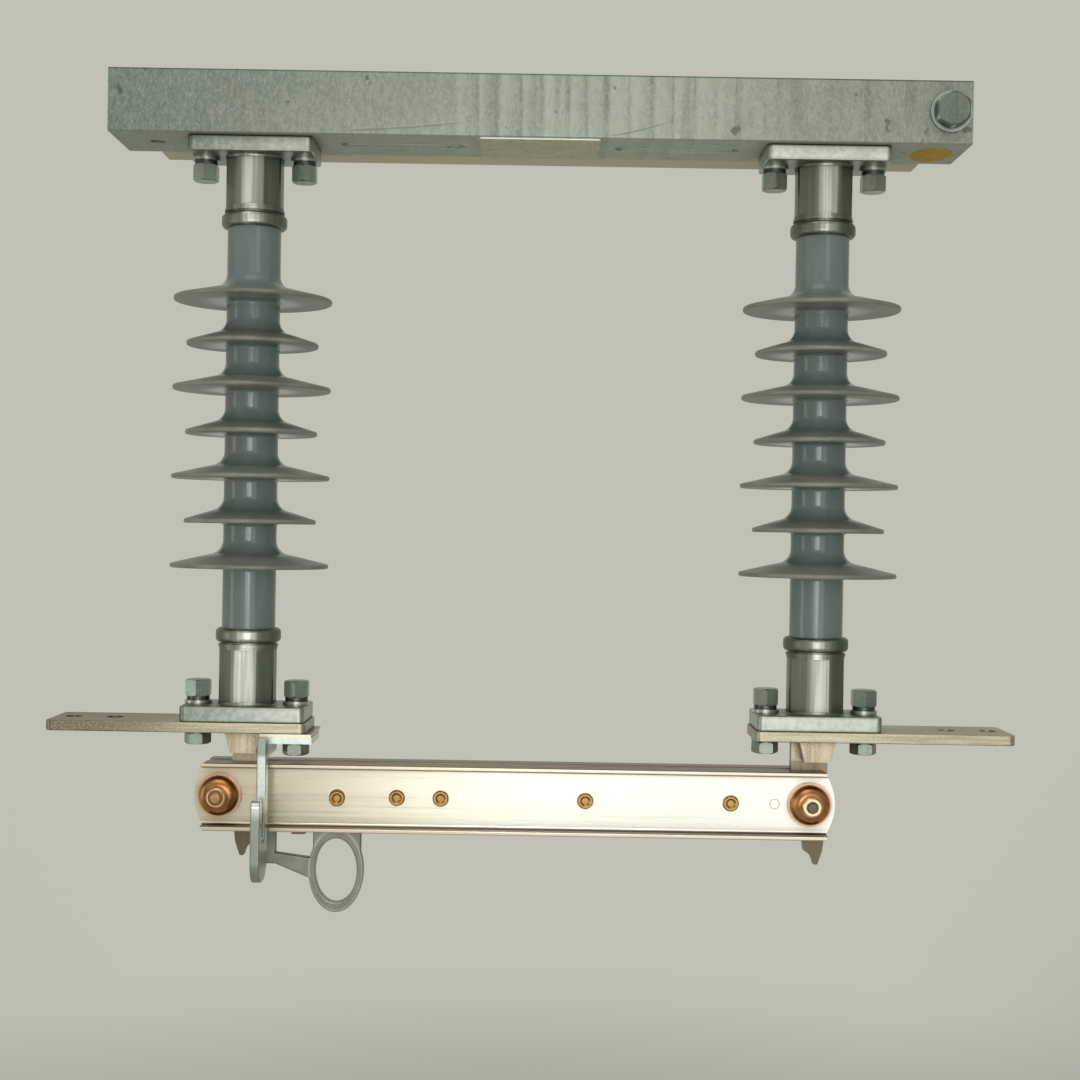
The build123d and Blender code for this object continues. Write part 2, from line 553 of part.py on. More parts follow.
def blade_channel(face):
    """One channel of the blade. face is -1 for the front one and 1 for the back one."""
    inner, web, lip = face * WEB_INNER_Y, face * WEB_OUTER_Y, face * BLADE_DEPTH / 2
    low, high = sorted((inner, lip))
    channel = Pos(0, high, 0) * extrude(Plane.XZ * blade_outline(), high - low)
    recess = block((-2 * HALF_BASE, 2 * HALF_BASE), sorted((web, lip + face)),
                   (BLADE_BOTTOM + BLADE_LIP, BLADE_TOP - BLADE_LIP))
    roots = recess.edges().filter_by(Axis.X).group_by(Axis.Y)[0 if face > 0 else -1]
    channel -= fillet(roots, BLADE_ROOT_RADIUS)
    lips = channel.edges().filter_by(Axis.X).group_by(Axis.Y)[-1 if face > 0 else 0]
    channel = fillet(lips, BLADE_EDGE_RADIUS)
    through = sorted((inner - face, web + face))
    holes = [(HINGE_X, PIVOT_Z, HINGE_PIN_DIAMETER + 2 * HINGE_PIN_CLEARANCE),
             (JAW_BOLT_X, PIVOT_Z, JAW_BOLT_DIAMETER + 2 * HINGE_PIN_CLEARANCE),
             (LEVER_PIVOT_X, LEVER_PIVOT_Z, LEVER_PIN_DIAMETER + 2 * RIVET_HOLE_CLEARANCE)]
    holes += [(x, PIVOT_Z, RIVET_SHANK + 2 * RIVET_HOLE_CLEARANCE) for x in rivet_places()]
    for x, z, diameter in holes:
        channel -= crosswise(x, z, through, diameter)
    groove = sorted((web, web - face * PLUG_GROOVE_DEPTH))
    plug_x = HINGE_X - PLUG_OFFSET
    ring = crosswise(plug_x, PIVOT_Z, groove, PLUG_DIAMETER)
    return channel - (ring - crosswise(plug_x, PIVOT_Z, groove, PLUG_DIAMETER - 2 * PLUG_GROOVE_WIDTH))


def turned_about_y(x, z, edges):
    """A turned piece on a cross axis, from the (radius, Y) edges of its section."""
    return Pos(x, 0, z) * revolve(Plane.XY * make_face(Curve() + edges), Axis.Y)


def spring_cup(x, face):
    """A domed copper washer, its rim on the blade's web and its crown away from it."""
    rim, crown = CUP_DIAMETER / 2, CUP_CROWN_DIAMETER / 2
    shank = HINGE_PIN_DIAMETER if x > 0 else JAW_BOLT_DIAMETER
    bore = shank / 2 + HINGE_PIN_CLEARANCE
    base, top = WEB_OUTER_Y, WEB_OUTER_Y + CUP_HEIGHT
    shoulder, brow = (rim - CUP_RIM_WIDTH, base + CUP_WALL), (crown, top)
    hollow_foot, hollow_brow = (rim - CUP_RIM_WIDTH - CUP_WALL, base), (crown - CUP_WALL / 2, top - CUP_WALL)

    def bulged(start, end):
        return ((start[0] + end[0]) / 2 + CUP_BULGE, (start[1] + end[1]) / 2 + CUP_BULGE)

    def at(point):
        return (point[0], face * point[1])

    outer = ThreePointArc(at(shoulder), at(bulged(shoulder, brow)), at(brow))
    hollow = ThreePointArc(at(hollow_brow), at(bulged(hollow_brow, hollow_foot)), at(hollow_foot))
    rest = [Polyline(at(hollow_foot), at((rim, base)), at((rim, base + CUP_WALL)), at(shoulder)),
            Polyline(at(brow), at((bore, top)), at((bore, top - CUP_WALL)), at(hollow_brow))]
    return turned_about_y(x, PIVOT_Z, [outer, hollow] + rest)


def cross_bolt(x, shank):
    """A pin across the blade, with a collar and a short chamfered end on each spring cup."""
    seat = WEB_OUTER_Y + CUP_HEIGHT
    collar = seat + COLLAR_HEIGHT
    end = collar + PIN_END_HEIGHT
    tip, rim = PIN_END_DIAMETER / 2, COLLAR_DIAMETER / 2
    half = [(0, end), (tip - PIN_END_CHAMFER, end), (tip, end - PIN_END_CHAMFER), (tip, collar),
            (rim - COLLAR_EDGE, collar), (rim, collar - COLLAR_EDGE), (rim, seat), (shank / 2, seat)]
    return turned_about_y(x, PIVOT_Z, [both_ends(half)])


def both_ends(half):
    """The closed outline of a turned piece that is the same at both ends; half is its +Y end, axis first."""
    return Polyline(*half, *[(radius, -y) for radius, y in reversed(half)], close=True)


def rivet(x, z, shank, spacer):
    """A rivet with low dished heads on both webs and, where it has one, a spacer between them."""
    end, head = WEB_OUTER_Y + RIVET_HEAD_HEIGHT, RIVET_HEAD / 2
    dish, floor = RIVET_DISH_DIAMETER / 2, end - RIVET_DISH_DEPTH
    half = [(0, floor), (dish - RIVET_DISH_SLOPE, floor), (dish, end), (head - RIVET_HEAD_EDGE, end),
            (head, end - RIVET_HEAD_EDGE), (head, WEB_OUTER_Y), (shank / 2, WEB_OUTER_Y)]
    if spacer:
        half += [(shank / 2, WEB_INNER_Y), (RIVET_SPACER / 2, WEB_INNER_Y)]
    return turned_about_y(x, z, [both_ends(half)])


def rivet_places():
    left = [-HALF_SPACING + step for step in RIVETS_FROM_JAW]
    return left + [HALF_SPACING - step for step in RIVETS_FROM_HINGE]


def blade_rivets():
    return Compound(children=[rivet(x, PIVOT_Z, RIVET_SHANK, True) for x in rivet_places()])


def latch_stop():
    """The stop between the two channels, just below the blade."""
    bottom = BLADE_BOTTOM - LATCH_STOP_DEPTH_BELOW
    along = (LATCH_FINGER_RIGHT + LATCH_STOP_GAP, LEVER_BODY_LEFT - LATCH_STOP_LEVER_GAP)
    return block(along, (-WEB_INNER_Y, WEB_INNER_Y), (bottom, bottom + LATCH_STOP_HEIGHT))


def pull_ring_lever():
    """The lever in the blade: body on the pivot, oval pull ring below, latch arm and finger to the left."""
    ring_z = PIVOT_Z - RING_DROP
    body_top = LEVER_PIVOT_Z + LEVER_BODY_TOP_RADIUS
    body_right = LEVER_PIVOT_X + LEVER_BODY_REACH_RIGHT
    middle = Pos((LEVER_BODY_LEFT + body_right) / 2, (body_top + ring_z) / 2)
    body = middle * Rectangle(body_right - LEVER_BODY_LEFT, body_top - ring_z)
    body = fillet(body.vertices().group_by(Axis.Y)[-1], LEVER_BODY_TOP_RADIUS)
    face = body + Pos(RING_CENTRE_X, ring_z) * Ellipse(RING_HALF_WIDTH, RING_HALF_HEIGHT)
    arm_top = PIVOT_Z - LATCH_ARM_TOP_DROP
    arm_bottom = arm_top - LATCH_ARM_END_HEIGHT
    finger_top = PIVOT_Z - LATCH_FINGER_TOP_DROP
    root_x = RING_CENTRE_X - RING_HALF_WIDTH + RING_SIDE_BAR
    root_top = arm_top - LATCH_ARM_ROOT_DROP
    face += make_face(Polyline((LATCH_FINGER_LEFT, finger_top), (LATCH_FINGER_RIGHT, finger_top),
                               (LATCH_FINGER_RIGHT, arm_top), (root_x, root_top),
                               (root_x, root_top - LATCH_ARM_ROOT_HEIGHT), (LATCH_FINGER_RIGHT, arm_bottom),
                               (LATCH_FINGER_LEFT, arm_bottom), close=True))
    eye = Ellipse(RING_HALF_WIDTH - RING_SIDE_BAR, RING_HALF_HEIGHT - RING_END_BAR)
    face -= Pos(RING_CENTRE_X, ring_z) * eye
    lever = Pos(0, LEVER_THICKNESS / 2, 0) * extrude(Plane.XZ * face, LEVER_THICKNESS)
    sides = lever.edges().group_by(Axis.Y)
    lever = fillet(sides[0] + sides[-1], LEVER_EDGE_RADIUS)
    bore = LEVER_PIN_DIAMETER + 2 * RIVET_HOLE_CLEARANCE
    return lever - crosswise(LEVER_PIVOT_X, LEVER_PIVOT_Z, (-LEVER_THICKNESS, LEVER_THICKNESS), bore)


def guide_hook():
    """A bent plate: foot under the terminal, shank in front of the blade, and an open hook below."""
    foot_top = TERMINAL_UNDERSIDE - JAW_PAD_THICKNESS
    shank_back = -BLADE_DEPTH / 2 - HOOK_BLADE_CLEARANCE
    shank_front = shank_back - HOOK_SHANK_DEPTH
    horn_back = shank_front - HOOK_SLOT_DEPTH
    horn_front = horn_back - HOOK_HORN_DEPTH
    foot_front = -TERMINAL_DEPTH / 2
    under_foot = BLADE_TOP + HOOK_ARM_CLEARANCE
    bottom = PIVOT_Z - HOOK_BOTTOM_DROP
    slot_bottom = PIVOT_Z - HOOK_SLOT_BOTTOM_DROP
    horn_top = PIVOT_Z + HOOK_HORN_TOP_DROP
    outline = make_face(Polyline((HOOK_FOOT_BACK, foot_top), (shank_front, foot_top),
                                 (shank_front, slot_bottom), (horn_back, slot_bottom), (horn_back, horn_top),
                                 (horn_front, horn_top), (horn_front, bottom), (shank_back, bottom),
                                 (shank_back, under_foot), (HOOK_FOOT_BACK, under_foot), close=True))
    rounded = outline.vertices().filter_by_position(Axis.Y, bottom - 1, bottom + 1)
    outline = fillet(rounded, HOOK_BOTTOM_RADIUS)
    slot = outline.vertices().filter_by_position(Axis.Y, slot_bottom - 1, slot_bottom + 1)
    outline = fillet(slot, (HOOK_SLOT_DEPTH - HOOK_END_FLAT) / 2)
    horn = outline.vertices().filter_by_position(Axis.Y, horn_top - 1, horn_top + 1)
    horn = horn.filter_by_position(Axis.X, horn_front - 1, horn_back + 1)
    outline = fillet(horn, (HOOK_HORN_DEPTH - HOOK_END_FLAT) / 2)
    hook = plate_yz(outline, (JAW_POST_SIDE, HOOK_RIGHT))
    sides = hook.edges().group_by(Axis.X)
    hook = fillet(sides[0] + sides[-1], HOOK_EDGE_RADIUS)
    foot_levels = (foot_top - HOOK_FOOT_THICKNESS, foot_top)
    foot_length = (HOOK_RIGHT - HOOK_EDGE_RADIUS, HOOK_RIGHT + HOOK_FOOT_LENGTH)
    foot = block(foot_length, (foot_front, HOOK_FOOT_BACK), foot_levels)
    hole = clearance_hole(FLANGE_BOLT_DIAMETER)
    return hook + foot - upright(bolt_places(-1)[1], 0, (foot_levels[0] - 1, foot_top + 1), hole)


def build():
    pieces = {
        "base_channel": base_channel(),
        "rear_mounting_bar": rear_mounting_bar(),
        "mounting_bar_bolts": mounting_bar_bolts(),
        "nameplate": nameplate(),
        "earth_bolt": earth_bolt(),
        "jaw_pad": jaw_pad(),
        "guide_hook": guide_hook(),
        "blade_channel_front": blade_channel(-1),
        "blade_channel_back": blade_channel(1),
        "hinge_bolt": cross_bolt(HINGE_X, HINGE_PIN_DIAMETER),
        "jaw_bolt": cross_bolt(JAW_BOLT_X, JAW_BOLT_DIAMETER),
        "blade_rivets": blade_rivets(),
        "lever_pivot_pin": rivet(LEVER_PIVOT_X, LEVER_PIVOT_Z, LEVER_PIN_DIAMETER, False),
        "latch_stop": latch_stop(),
        "pull_ring_lever": pull_ring_lever(),
    }
    for name, x in (("hinge", HINGE_X), ("jaw", JAW_BOLT_X)):
        pieces[name + "_cup_front"] = spring_cup(x, -1)
        pieces[name + "_cup_back"] = spring_cup(x, 1)
    for name, side in (("left", -1), ("right", 1)):
        pieces["upper_fitting_" + name] = fitting(side, WEB_UNDERSIDE, -1, UPPER_SLEEVE_LENGTH)
        pieces["lower_fitting_" + name] = fitting(side, LOWER_FLANGE_UNDERSIDE, 1, LOWER_SLEEVE_LENGTH)
        pieces["insulator_housing_" + name] = insulator_housing(side)
        pieces["upper_flange_bolts_" + name] = upper_flange_bolts(side)
        pieces["lower_flange_bolts_" + name] = lower_flange_bolts(side)
        pieces["terminal_bar_" + name] = terminal_bar(side)
        pieces["contact_post_" + name] = contact_post(side)
        pieces["contact_tongue_" + name] = contact_tongue(side)
    return pieces


os.makedirs("parts", exist_ok=True)
set_down = Pos(0, -MOUNTING_BAR_BACK, -MOUNTING_BAR_MIDDLE)
for node, shape in build().items():
    export_step(set_down * shape, "parts/" + node + ".step")
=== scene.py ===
import json
import math

import bpy
from mathutils import Matrix, Vector


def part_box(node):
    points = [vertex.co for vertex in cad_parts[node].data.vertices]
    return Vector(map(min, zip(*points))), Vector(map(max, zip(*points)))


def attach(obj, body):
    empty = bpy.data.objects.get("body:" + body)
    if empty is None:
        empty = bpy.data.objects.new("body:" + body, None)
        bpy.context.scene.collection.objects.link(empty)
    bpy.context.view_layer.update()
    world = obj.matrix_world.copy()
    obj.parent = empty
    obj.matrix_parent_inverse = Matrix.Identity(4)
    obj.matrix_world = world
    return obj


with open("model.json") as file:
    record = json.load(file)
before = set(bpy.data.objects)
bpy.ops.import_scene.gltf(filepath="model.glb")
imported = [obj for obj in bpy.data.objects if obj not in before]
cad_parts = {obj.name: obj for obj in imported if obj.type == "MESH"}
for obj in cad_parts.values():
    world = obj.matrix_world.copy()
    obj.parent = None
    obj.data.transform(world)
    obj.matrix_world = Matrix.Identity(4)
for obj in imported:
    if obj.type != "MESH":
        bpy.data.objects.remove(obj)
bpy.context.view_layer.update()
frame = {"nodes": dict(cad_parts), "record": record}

# Camera, at the place that the photograph was taken from, with its turns in radians
CAMERA_PLACE = Vector((0.0056, -1.3551, -0.3105))
CAMERA_YAW = -0.0005
CAMERA_PITCH = -0.0070
CAMERA_ROLL = 0.0165
FOCAL_LENGTH_PIXELS = 1661.0
PHOTO_WIDTH_PIXELS = 1080.0
SENSOR_WIDTH = 36.0

# Room round the object. The floor passes into the backdrop over FLOOR_FADE metres from the object, and the
# backdrop gets darker over SIDE_FADE, where 1 is a direction straight to the side.
FLOOR_LEVEL = -1.10
FLOOR_HALF_WIDTH = 12.0
FLOOR_COLOUR = (0.80, 0.80, 0.71)
FLOOR_FADE = (0.5, 1.7)
BACKDROP_COLOUR = (0.53, 0.535, 0.462)
ROOM_COLOUR = (0.95, 0.97, 0.92)
ROOM_STRENGTH = 0.36
SIDE_FADE = (0.35, 0.95)
LEFT_SIDE_LEVEL = 0.88
RIGHT_SIDE_LEVEL = 0.64

# Lamps: name, place, point that it faces, width and height, power in watts
LAMPS = (
    ("key_lamp", (-0.10, -2.0, -0.28), (0, 0, -0.30), (0.8, 0.5), 7.2),
    ("thin_lamp", (0.02, -1.9, -0.30), (0, 0, -0.30), (0.04, 0.85), 1.7),
    ("left_card", (-0.85, -2.0, -0.45), (-0.1, 0, -0.30), (0.3, 0.8), 0.7),
    ("side_card", (-2.3, -0.85, -0.40), (0, 0, -0.30), (0.5, 1.2), 3.6),
    ("right_card", (0.70, -2.0, -0.25), (0.05, 0, -0.30), (0.6, 1.5), 4.4),
    ("top_lamp", (-0.3, -1.1, 1.3), (0, 0, -0.25), (1.2, 1.2), 6.0),
)

# Patterns: the span that most of a noise lies in, a band's soft share, the wave's own period, and the rays
# that feel for corners
NOISE_SPAN = (0.3, 0.7)
BAND_SOFTNESS = 0.1
WAVE_PERIOD_AT_SCALE_1 = math.pi / 10
CREVICE_RAYS = 6

# Places and distances that patterns are set by, in metres. A pair that a ramp takes is the span in which a
# pattern comes in or fades out.
LEFT_TO_RIGHT = (-0.1, 0.1)
HINGE_SIDE = (0.19, 0.20)

# Base
BASE_TOP = 0.032
WEB_INSIDE = -0.011
WEB_UNDERSIDE = -0.016
BASE_TOP_EDGE = (BASE_TOP - 0.0017, BASE_TOP - 0.0009)
BASE_LOWER_FACE = (WEB_UNDERSIDE + 0.0002, WEB_UNDERSIDE + 0.0008)
SLOT_WALL_BOTTOM = (WEB_UNDERSIDE + 0.0013, WEB_UNDERSIDE + 0.0019)
SLOT_WALL_TOP = (WEB_INSIDE - 0.0008, WEB_INSIDE - 0.0004)
BEAM_SLOT_BACK = -0.060
HALF_SLOT_WALL = 0.0005
BASE_LEFT_END = (-0.32, -0.10)
BASE_RIGHT_HALF = (-0.10, 0.06)
BASE_RIGHT_END = (0.13, 0.30)
DRIP_HEIGHTS = (-0.012, 0.016)
DRIP_BANDS_START = (-0.09, -0.04)
DRIP_BANDS_END = (0.10, 0.17)
DRIP_SPACING = 0.0165
SCRATCHES = (((-0.150, -0.013), (-0.052, -0.0045)), ((0.052, -0.014), (0.098, -0.002)))
SCRATCH_WIDTH = 0.0011
SCRATCH_BOW = 0.0012
EARTH_BOLT_X = 0.309
EARTH_BOLT_Z = 0.008
EARTH_WASHER_SHOWS = (0.0128, 0.0136)
PLATE_EDGE_DEPTH = (0.0010, 0.0014)

# Insulators with their fittings and bolts
INSULATOR_X = 0.22
INSULATOR_Y = -0.067
CORE_TO_SHED = (0.023, 0.046)
# A painted highlight down each sleeve and painted shade towards its sides, placed from its axis
SLEEVE_PAINTED_HIGHLIGHT_X = -0.0015
SLEEVE_PAINTED_HIGHLIGHT_REACH = 0.0065
SLEEVE_SIDES = (0.004, 0.0165)
FLANGE_LEVELS = (-0.022, -0.456)
HALF_FLANGE = 0.0062
HALF_FLANGE_FACE = 0.0040
LEFT_FLANGES = (-0.275, -0.165)
LOWER_FLANGES = (-0.3, -0.2)
SPRING_WASHER_LEVELS = (-0.0320, -0.4460)
FLAT_WASHER_LEVELS = (-0.02925, -0.44875)
HALF_WASHER = 0.00135

# Terminal bars, posts, jaw pad and guide hook
TERMINAL_UNDERSIDE = -0.470
BELOW_BARS = (TERMINAL_UNDERSIDE - 0.0004, TERMINAL_UNDERSIDE - 0.0001)
BAR_LEFT_END = (-0.33, -0.22)
PAD_LEVEL = TERMINAL_UNDERSIDE - 0.0014
HALF_PAD = 0.0012
PAD_LEFT_END = (-0.206, -0.205)
PAD_RIGHT_END = (-0.1, 0.0)
POST_BOTTOM = -0.486
POST_NECK = (POST_BOTTOM - 0.0012, POST_BOTTOM - 0.0002)
HOOK_LEFT_SIDE = -0.206
HOOK_LEFT_EDGE = (HOOK_LEFT_SIDE + 0.0004, HOOK_LEFT_SIDE + 0.0014)
HOOK_RIGHT_SIDE = -0.199
HOOK_RIGHT_EDGE = (HOOK_RIGHT_SIDE - 0.0006, HOOK_RIGHT_SIDE - 0.0001)
HOOK_SHANK_END = (HOOK_RIGHT_SIDE + 0.0002, HOOK_RIGHT_SIDE + 0.0004)
HOOK_FOOT_UNDERSIDE = -0.4775
BELOW_HOOK_FOOT = (HOOK_FOOT_UNDERSIDE - 0.0012, HOOK_FOOT_UNDERSIDE - 0.0004)
HOOK_ROOT = (-0.488, -0.484)
HOOK_HORN_TOP = (-0.532, -0.522)

# Blade, with distances from the middle of a bolt or a rivet
BLADE_TOP = -0.494
BLADE_TOP_FACES = (BLADE_TOP - 0.0009, BLADE_TOP - 0.0003)
BLADE_BOTTOM = -0.546
BELOW_BLADE = (BLADE_BOTTOM - 0.001, BLADE_BOTTOM + 0.002)
BLADE_MIDDLE_Z = -0.520
BLADE_HALF_FACE = 0.0226
BLADE_LIPS = (BLADE_HALF_FACE - 0.0012, BLADE_HALF_FACE - 0.0004)
BLADE_SEAM = (BLADE_HALF_FACE, BLADE_HALF_FACE + 0.0008)
BLADE_LEFT_END = (-0.22, -0.04)
BLADE_PAINTED_LIGHT_END = (-0.10, 0.08)
JAW_BOLT_X = -0.239
HINGE_X = 0.216
PIN_EDGE = (0.0043, 0.0047)
COLLAR_RIM = (0.0058, 0.0063)
COLLAR_EDGE = (0.0074, 0.0078)
CUP_BROWN = (0.0085, 0.0135)
CUP_RIM = (0.0148, 0.0155)
RIVETS_X = (-0.1482, -0.1021, -0.0683, 0.0431, 0.1553)
RIVET_HEAD = 0.006
RIVET_RIM = (RIVET_HEAD, RIVET_HEAD + 0.0005)
RIVET_HALO = (RIVET_HEAD + 0.0002, RIVET_HEAD + 0.0016)

# Pull ring, an oval in X and Z, with its two edges, which carry painted highlights, as shares of its half
# size
RING_CENTRE = (-0.149, -0.578)
RING_HALF_SIZE = (0.0213, 0.0324)
RING_OUTER_EDGE = 0.975
RING_INNER_EDGE = 0.765

# Oval label on the underside of the base, with its centre and half size in X and Y
LABEL_CENTRE = (0.303, -0.0645)
LABEL_HALF_SIZE = (0.0154, 0.0225)
LABEL_THICKNESS = 0.0004
LABEL_CORNERS = 72
LABEL_SMOOTH_DEGREES = 40


def camera():
    """The camera of the photograph."""
    data = bpy.data.cameras.new("photo_camera")
    data.sensor_fit = "HORIZONTAL"
    data.sensor_width = SENSOR_WIDTH
    data.lens = SENSOR_WIDTH * FOCAL_LENGTH_PIXELS / PHOTO_WIDTH_PIXELS
    eye = bpy.data.objects.new("photo_camera", data)
    bpy.context.scene.collection.objects.link(eye)
    turn = Matrix.Rotation(-CAMERA_YAW, 4, "Z") @ Matrix.Rotation(math.pi / 2 + CAMERA_PITCH, 4, "X")
    eye.matrix_world = Matrix.Translation(CAMERA_PLACE) @ turn @ Matrix.Rotation(CAMERA_ROLL, 4, "Z")
    bpy.context.scene.camera = eye


def area_lamp(name, place, target, size, power):
    """A rectangular lamp at a place, turned to a target."""
    data = bpy.data.lights.new(name, "AREA")
    data.shape = "RECTANGLE"
    data.size, data.size_y = size
    data.energy = power
    lamp = bpy.data.objects.new(name, data)
    bpy.context.scene.collection.objects.link(lamp)
    aim = (Vector(target) - Vector(place)).to_track_quat("-Z", "Y").to_matrix().to_4x4()
    lamp.matrix_world = Matrix.Translation(place) @ aim


def seen_ray(tree):
    """1 for what the camera sees, also in metal or through a gap, and 0 for light on its way."""
    path = tree.nodes.new("ShaderNodeLightPath")
    value = path.outputs["Is Camera Ray"]
    for other in ("Is Glossy Ray", "Is Transmission Ray"):
        either = tree.nodes.new("ShaderNodeMath")
        either.operation = "MAXIMUM"
        tree.links.new(value, either.inputs[0])
        tree.links.new(path.outputs[other], either.inputs[1])
        value = either.outputs[0]
    return value


def side_level(tree, right):
    """The backdrop's level by how far to the right a direction points: lower at both sides of the room."""
    near, far = SIDE_FADE
    spans = ((near, far, 1.0, RIGHT_SIDE_LEVEL), (-far, -near, LEFT_SIDE_LEVEL, 1.0))
    levels = []
    for span in spans:
        fade = tree.nodes.new("ShaderNodeMapRange")
        fade.interpolation_type = "SMOOTHSTEP"
        for socket, value in zip(("From Min", "From Max", "To Min", "To Max"), span):
            fade.inputs[socket].default_value = value
        tree.links.new(right, fade.inputs["Value"])
        levels.append(fade.outputs["Result"])
    lower = tree.nodes.new("ShaderNodeMath")
    lower.operation = "MINIMUM"
    for level, socket in zip(levels, lower.inputs):
        tree.links.new(level, socket)
    return lower.outputs[0]


def world_light():
    """A soft room, which shows as the pale backdrop."""
    world = bpy.data.worlds.new("soft_room")
    world.use_nodes = True
    tree = world.node_tree
    room = tree.nodes["Background"]
    room.inputs["Color"].default_value = (*ROOM_COLOUR, 1.0)
    room.inputs["Strength"].default_value = ROOM_STRENGTH
    backdrop = tree.nodes.new("ShaderNodeBackground")
    backdrop.inputs["Color"].default_value = (*BACKDROP_COLOUR, 1.0)
    direction = tree.nodes.new("ShaderNodeSeparateXYZ")
    tree.links.new(tree.nodes.new("ShaderNodeTexCoord").outputs["Generated"], direction.inputs[0])
    tree.links.new(side_level(tree, direction.outputs["X"]), backdrop.inputs["Strength"])
    mix = tree.nodes.new("ShaderNodeMixShader")
    tree.links.new(seen_ray(tree), mix.inputs[0])
    tree.links.new(room.outputs[0], mix.inputs[1])
    tree.links.new(backdrop.outputs[0], mix.inputs[2])
    tree.links.new(mix.outputs[0], tree.nodes["World Output"].inputs["Surface"])
    bpy.context.scene.world = world


class Finish:
    """A material being built: its principled shader and short ways to add patterns in object coordinates.

    The methods that make a pattern give back its socket. The maths and the blends also take plain values.
    """

    def __init__(self, name, metallic, roughness):
        self.material = bpy.data.materials.new(name)
        self.material.use_nodes = True
        self.tree = self.material.node_tree
        self.nodes = self.tree.nodes
        self.links = self.tree.links
        self.shader = self.nodes["Principled BSDF"]
        self.shader.inputs["Metallic"].default_value = metallic
        self.shader.inputs["Roughness"].default_value = roughness
        self.place = self.nodes.new("ShaderNodeTexCoord").outputs["Object"]
        self.parted = None
        self.normal = None

    def put(self, value, socket):
        """Links a socket to another one, or sets that one to a number or a colour."""
        if hasattr(value, "links"):
            self.links.new(value, socket)
        elif hasattr(value, "__len__"):
            socket.default_value = (*value, 1.0)
        else:
            socket.default_value = value

    def axis(self, name):
        """The object's coordinate along X, Y or Z."""
        if self.parted is None:
            self.parted = self.nodes.new("ShaderNodeSeparateXYZ")
            self.links.new(self.place, self.parted.inputs[0])
        return self.parted.outputs[name]

    def mapped(self, stretch):
        """The object's coordinates, for a pattern that is stretched by a factor along each axis."""
        mapping = self.nodes.new("ShaderNodeMapping")
        mapping.vector_type = "TEXTURE"
        mapping.inputs["Scale"].default_value = stretch
        self.links.new(self.place, mapping.inputs["Vector"])
        return mapping.outputs["Vector"]

    def noise(self, scale, detail=3.0, stretch=(1, 1, 1), roughness=0.55, distortion=0.0):
        texture = self.nodes.new("ShaderNodeTexNoise")
        texture.inputs["Scale"].default_value = scale
        texture.inputs["Detail"].default_value = detail
        texture.inputs["Roughness"].default_value = roughness
        texture.inputs["Distortion"].default_value = distortion
        self.links.new(self.mapped(stretch), texture.inputs["Vector"])
        return texture.outputs["Fac"]

    def cells(self, scale, stretch):
        """One random shade for each cell."""
        texture = self.nodes.new("ShaderNodeTexVoronoi")
        texture.inputs["Scale"].default_value = scale
        self.links.new(self.mapped(stretch), texture.inputs["Vector"])
        return texture.outputs["Color"]

    def drip_bands(self, spacing, stretch):
        """Rises from 0 to 1 across each band and falls back at the next one, to the right."""
        texture = self.nodes.new("ShaderNodeTexWave")
        texture.wave_profile = "SAW"
        texture.inputs["Scale"].default_value = WAVE_PERIOD_AT_SCALE_1 / spacing
        texture.inputs["Distortion"].default_value = 3.2
        texture.inputs["Detail"].default_value = 2.0
        texture.inputs["Detail Scale"].default_value = 1.6
        self.links.new(self.mapped(stretch), texture.inputs["Vector"])
        return texture.outputs["Fac"]

    def ramp(self, value, low, high, to_low=0.0, to_high=1.0, smooth=False):
        """Passes from to_low to to_high while the value passes from low to high."""
        node = self.nodes.new("ShaderNodeMapRange")
        node.interpolation_type = "SMOOTHSTEP" if smooth else "LINEAR"
        node.inputs["From Min"].default_value = low
        node.inputs["From Max"].default_value = high
        node.inputs["To Min"].default_value = to_low
        node.inputs["To Max"].default_value = to_high
        self.links.new(value, node.inputs["Value"])
        return node.outputs["Result"]

    def maths(self, operation, a, b=0.0):
        node = self.nodes.new("ShaderNodeMath")
        node.operation = operation
        self.put(a, node.inputs[0])
        self.put(b, node.inputs[1])
        return node.outputs[0]

    def sum(self, a, b):
        return self.maths("ADD", a, b)

    def difference(self, a, b):
        return self.maths("SUBTRACT", a, b)

    def product(self, a, b):
        return self.maths("MULTIPLY", a, b)

    def apart(self, a, b):
        """How far two values are apart, whichever is larger."""
        return self.maths("ABSOLUTE", self.difference(a, b))

    def hypotenuse(self, a, b):
        squares = self.sum(self.product(a, a), self.product(b, b))
        return self.maths("POWER", squares, 0.5)

    def across(self, first, first_at, second, second_at):
        """Distance from an axis of the object, by two of its coordinates."""
        return self.hypotenuse(self.difference(first, first_at), self.difference(second, second_at))

    def band(self, axis, levels, half):
        """1 within half of any of the levels along an axis, with a soft end."""
        offs = [self.apart(self.axis(axis), level) for level in levels]
        nearest = offs[0]
        for off in offs[1:]:
            nearest = self.maths("MINIMUM", nearest, off)
        inside, outside = (1 - BAND_SOFTNESS) * half, (1 + BAND_SOFTNESS) * half
        return self.ramp(nearest, inside, outside, 1.0, 0.0, smooth=True)

    def scratch(self, start, end):
        """A thin bowed line between two points of the front, given as (X, Z): 1 on it and 0 beside it.

        It comes in over its first sixth and fades over its last quarter.
        """
        run, rise = end[0] - start[0], end[1] - start[1]
        length = math.hypot(run, rise)
        right = self.difference(self.axis("X"), start[0])
        up = self.difference(self.axis("Z"), start[1])
        along = self.sum(self.product(right, run / length), self.product(up, rise / length))
        aside = self.sum(self.product(right, -rise / length), self.product(up, run / length))
        from_middle_squared = self.maths("POWER", self.difference(along, length / 2), 2)
        bow = self.ramp(from_middle_squared, 0, length ** 2 / 4, SCRATCH_BOW, 0.0)
        on_line = self.ramp(self.maths("ABSOLUTE", self.sum(aside, bow)), 0, SCRATCH_WIDTH, 1, 0)
        begins = self.ramp(along, 0, length / 6)
        ends = self.ramp(along, length * 0.75, length, 1, 0)
        return self.product(on_line, self.product(begins, ends))

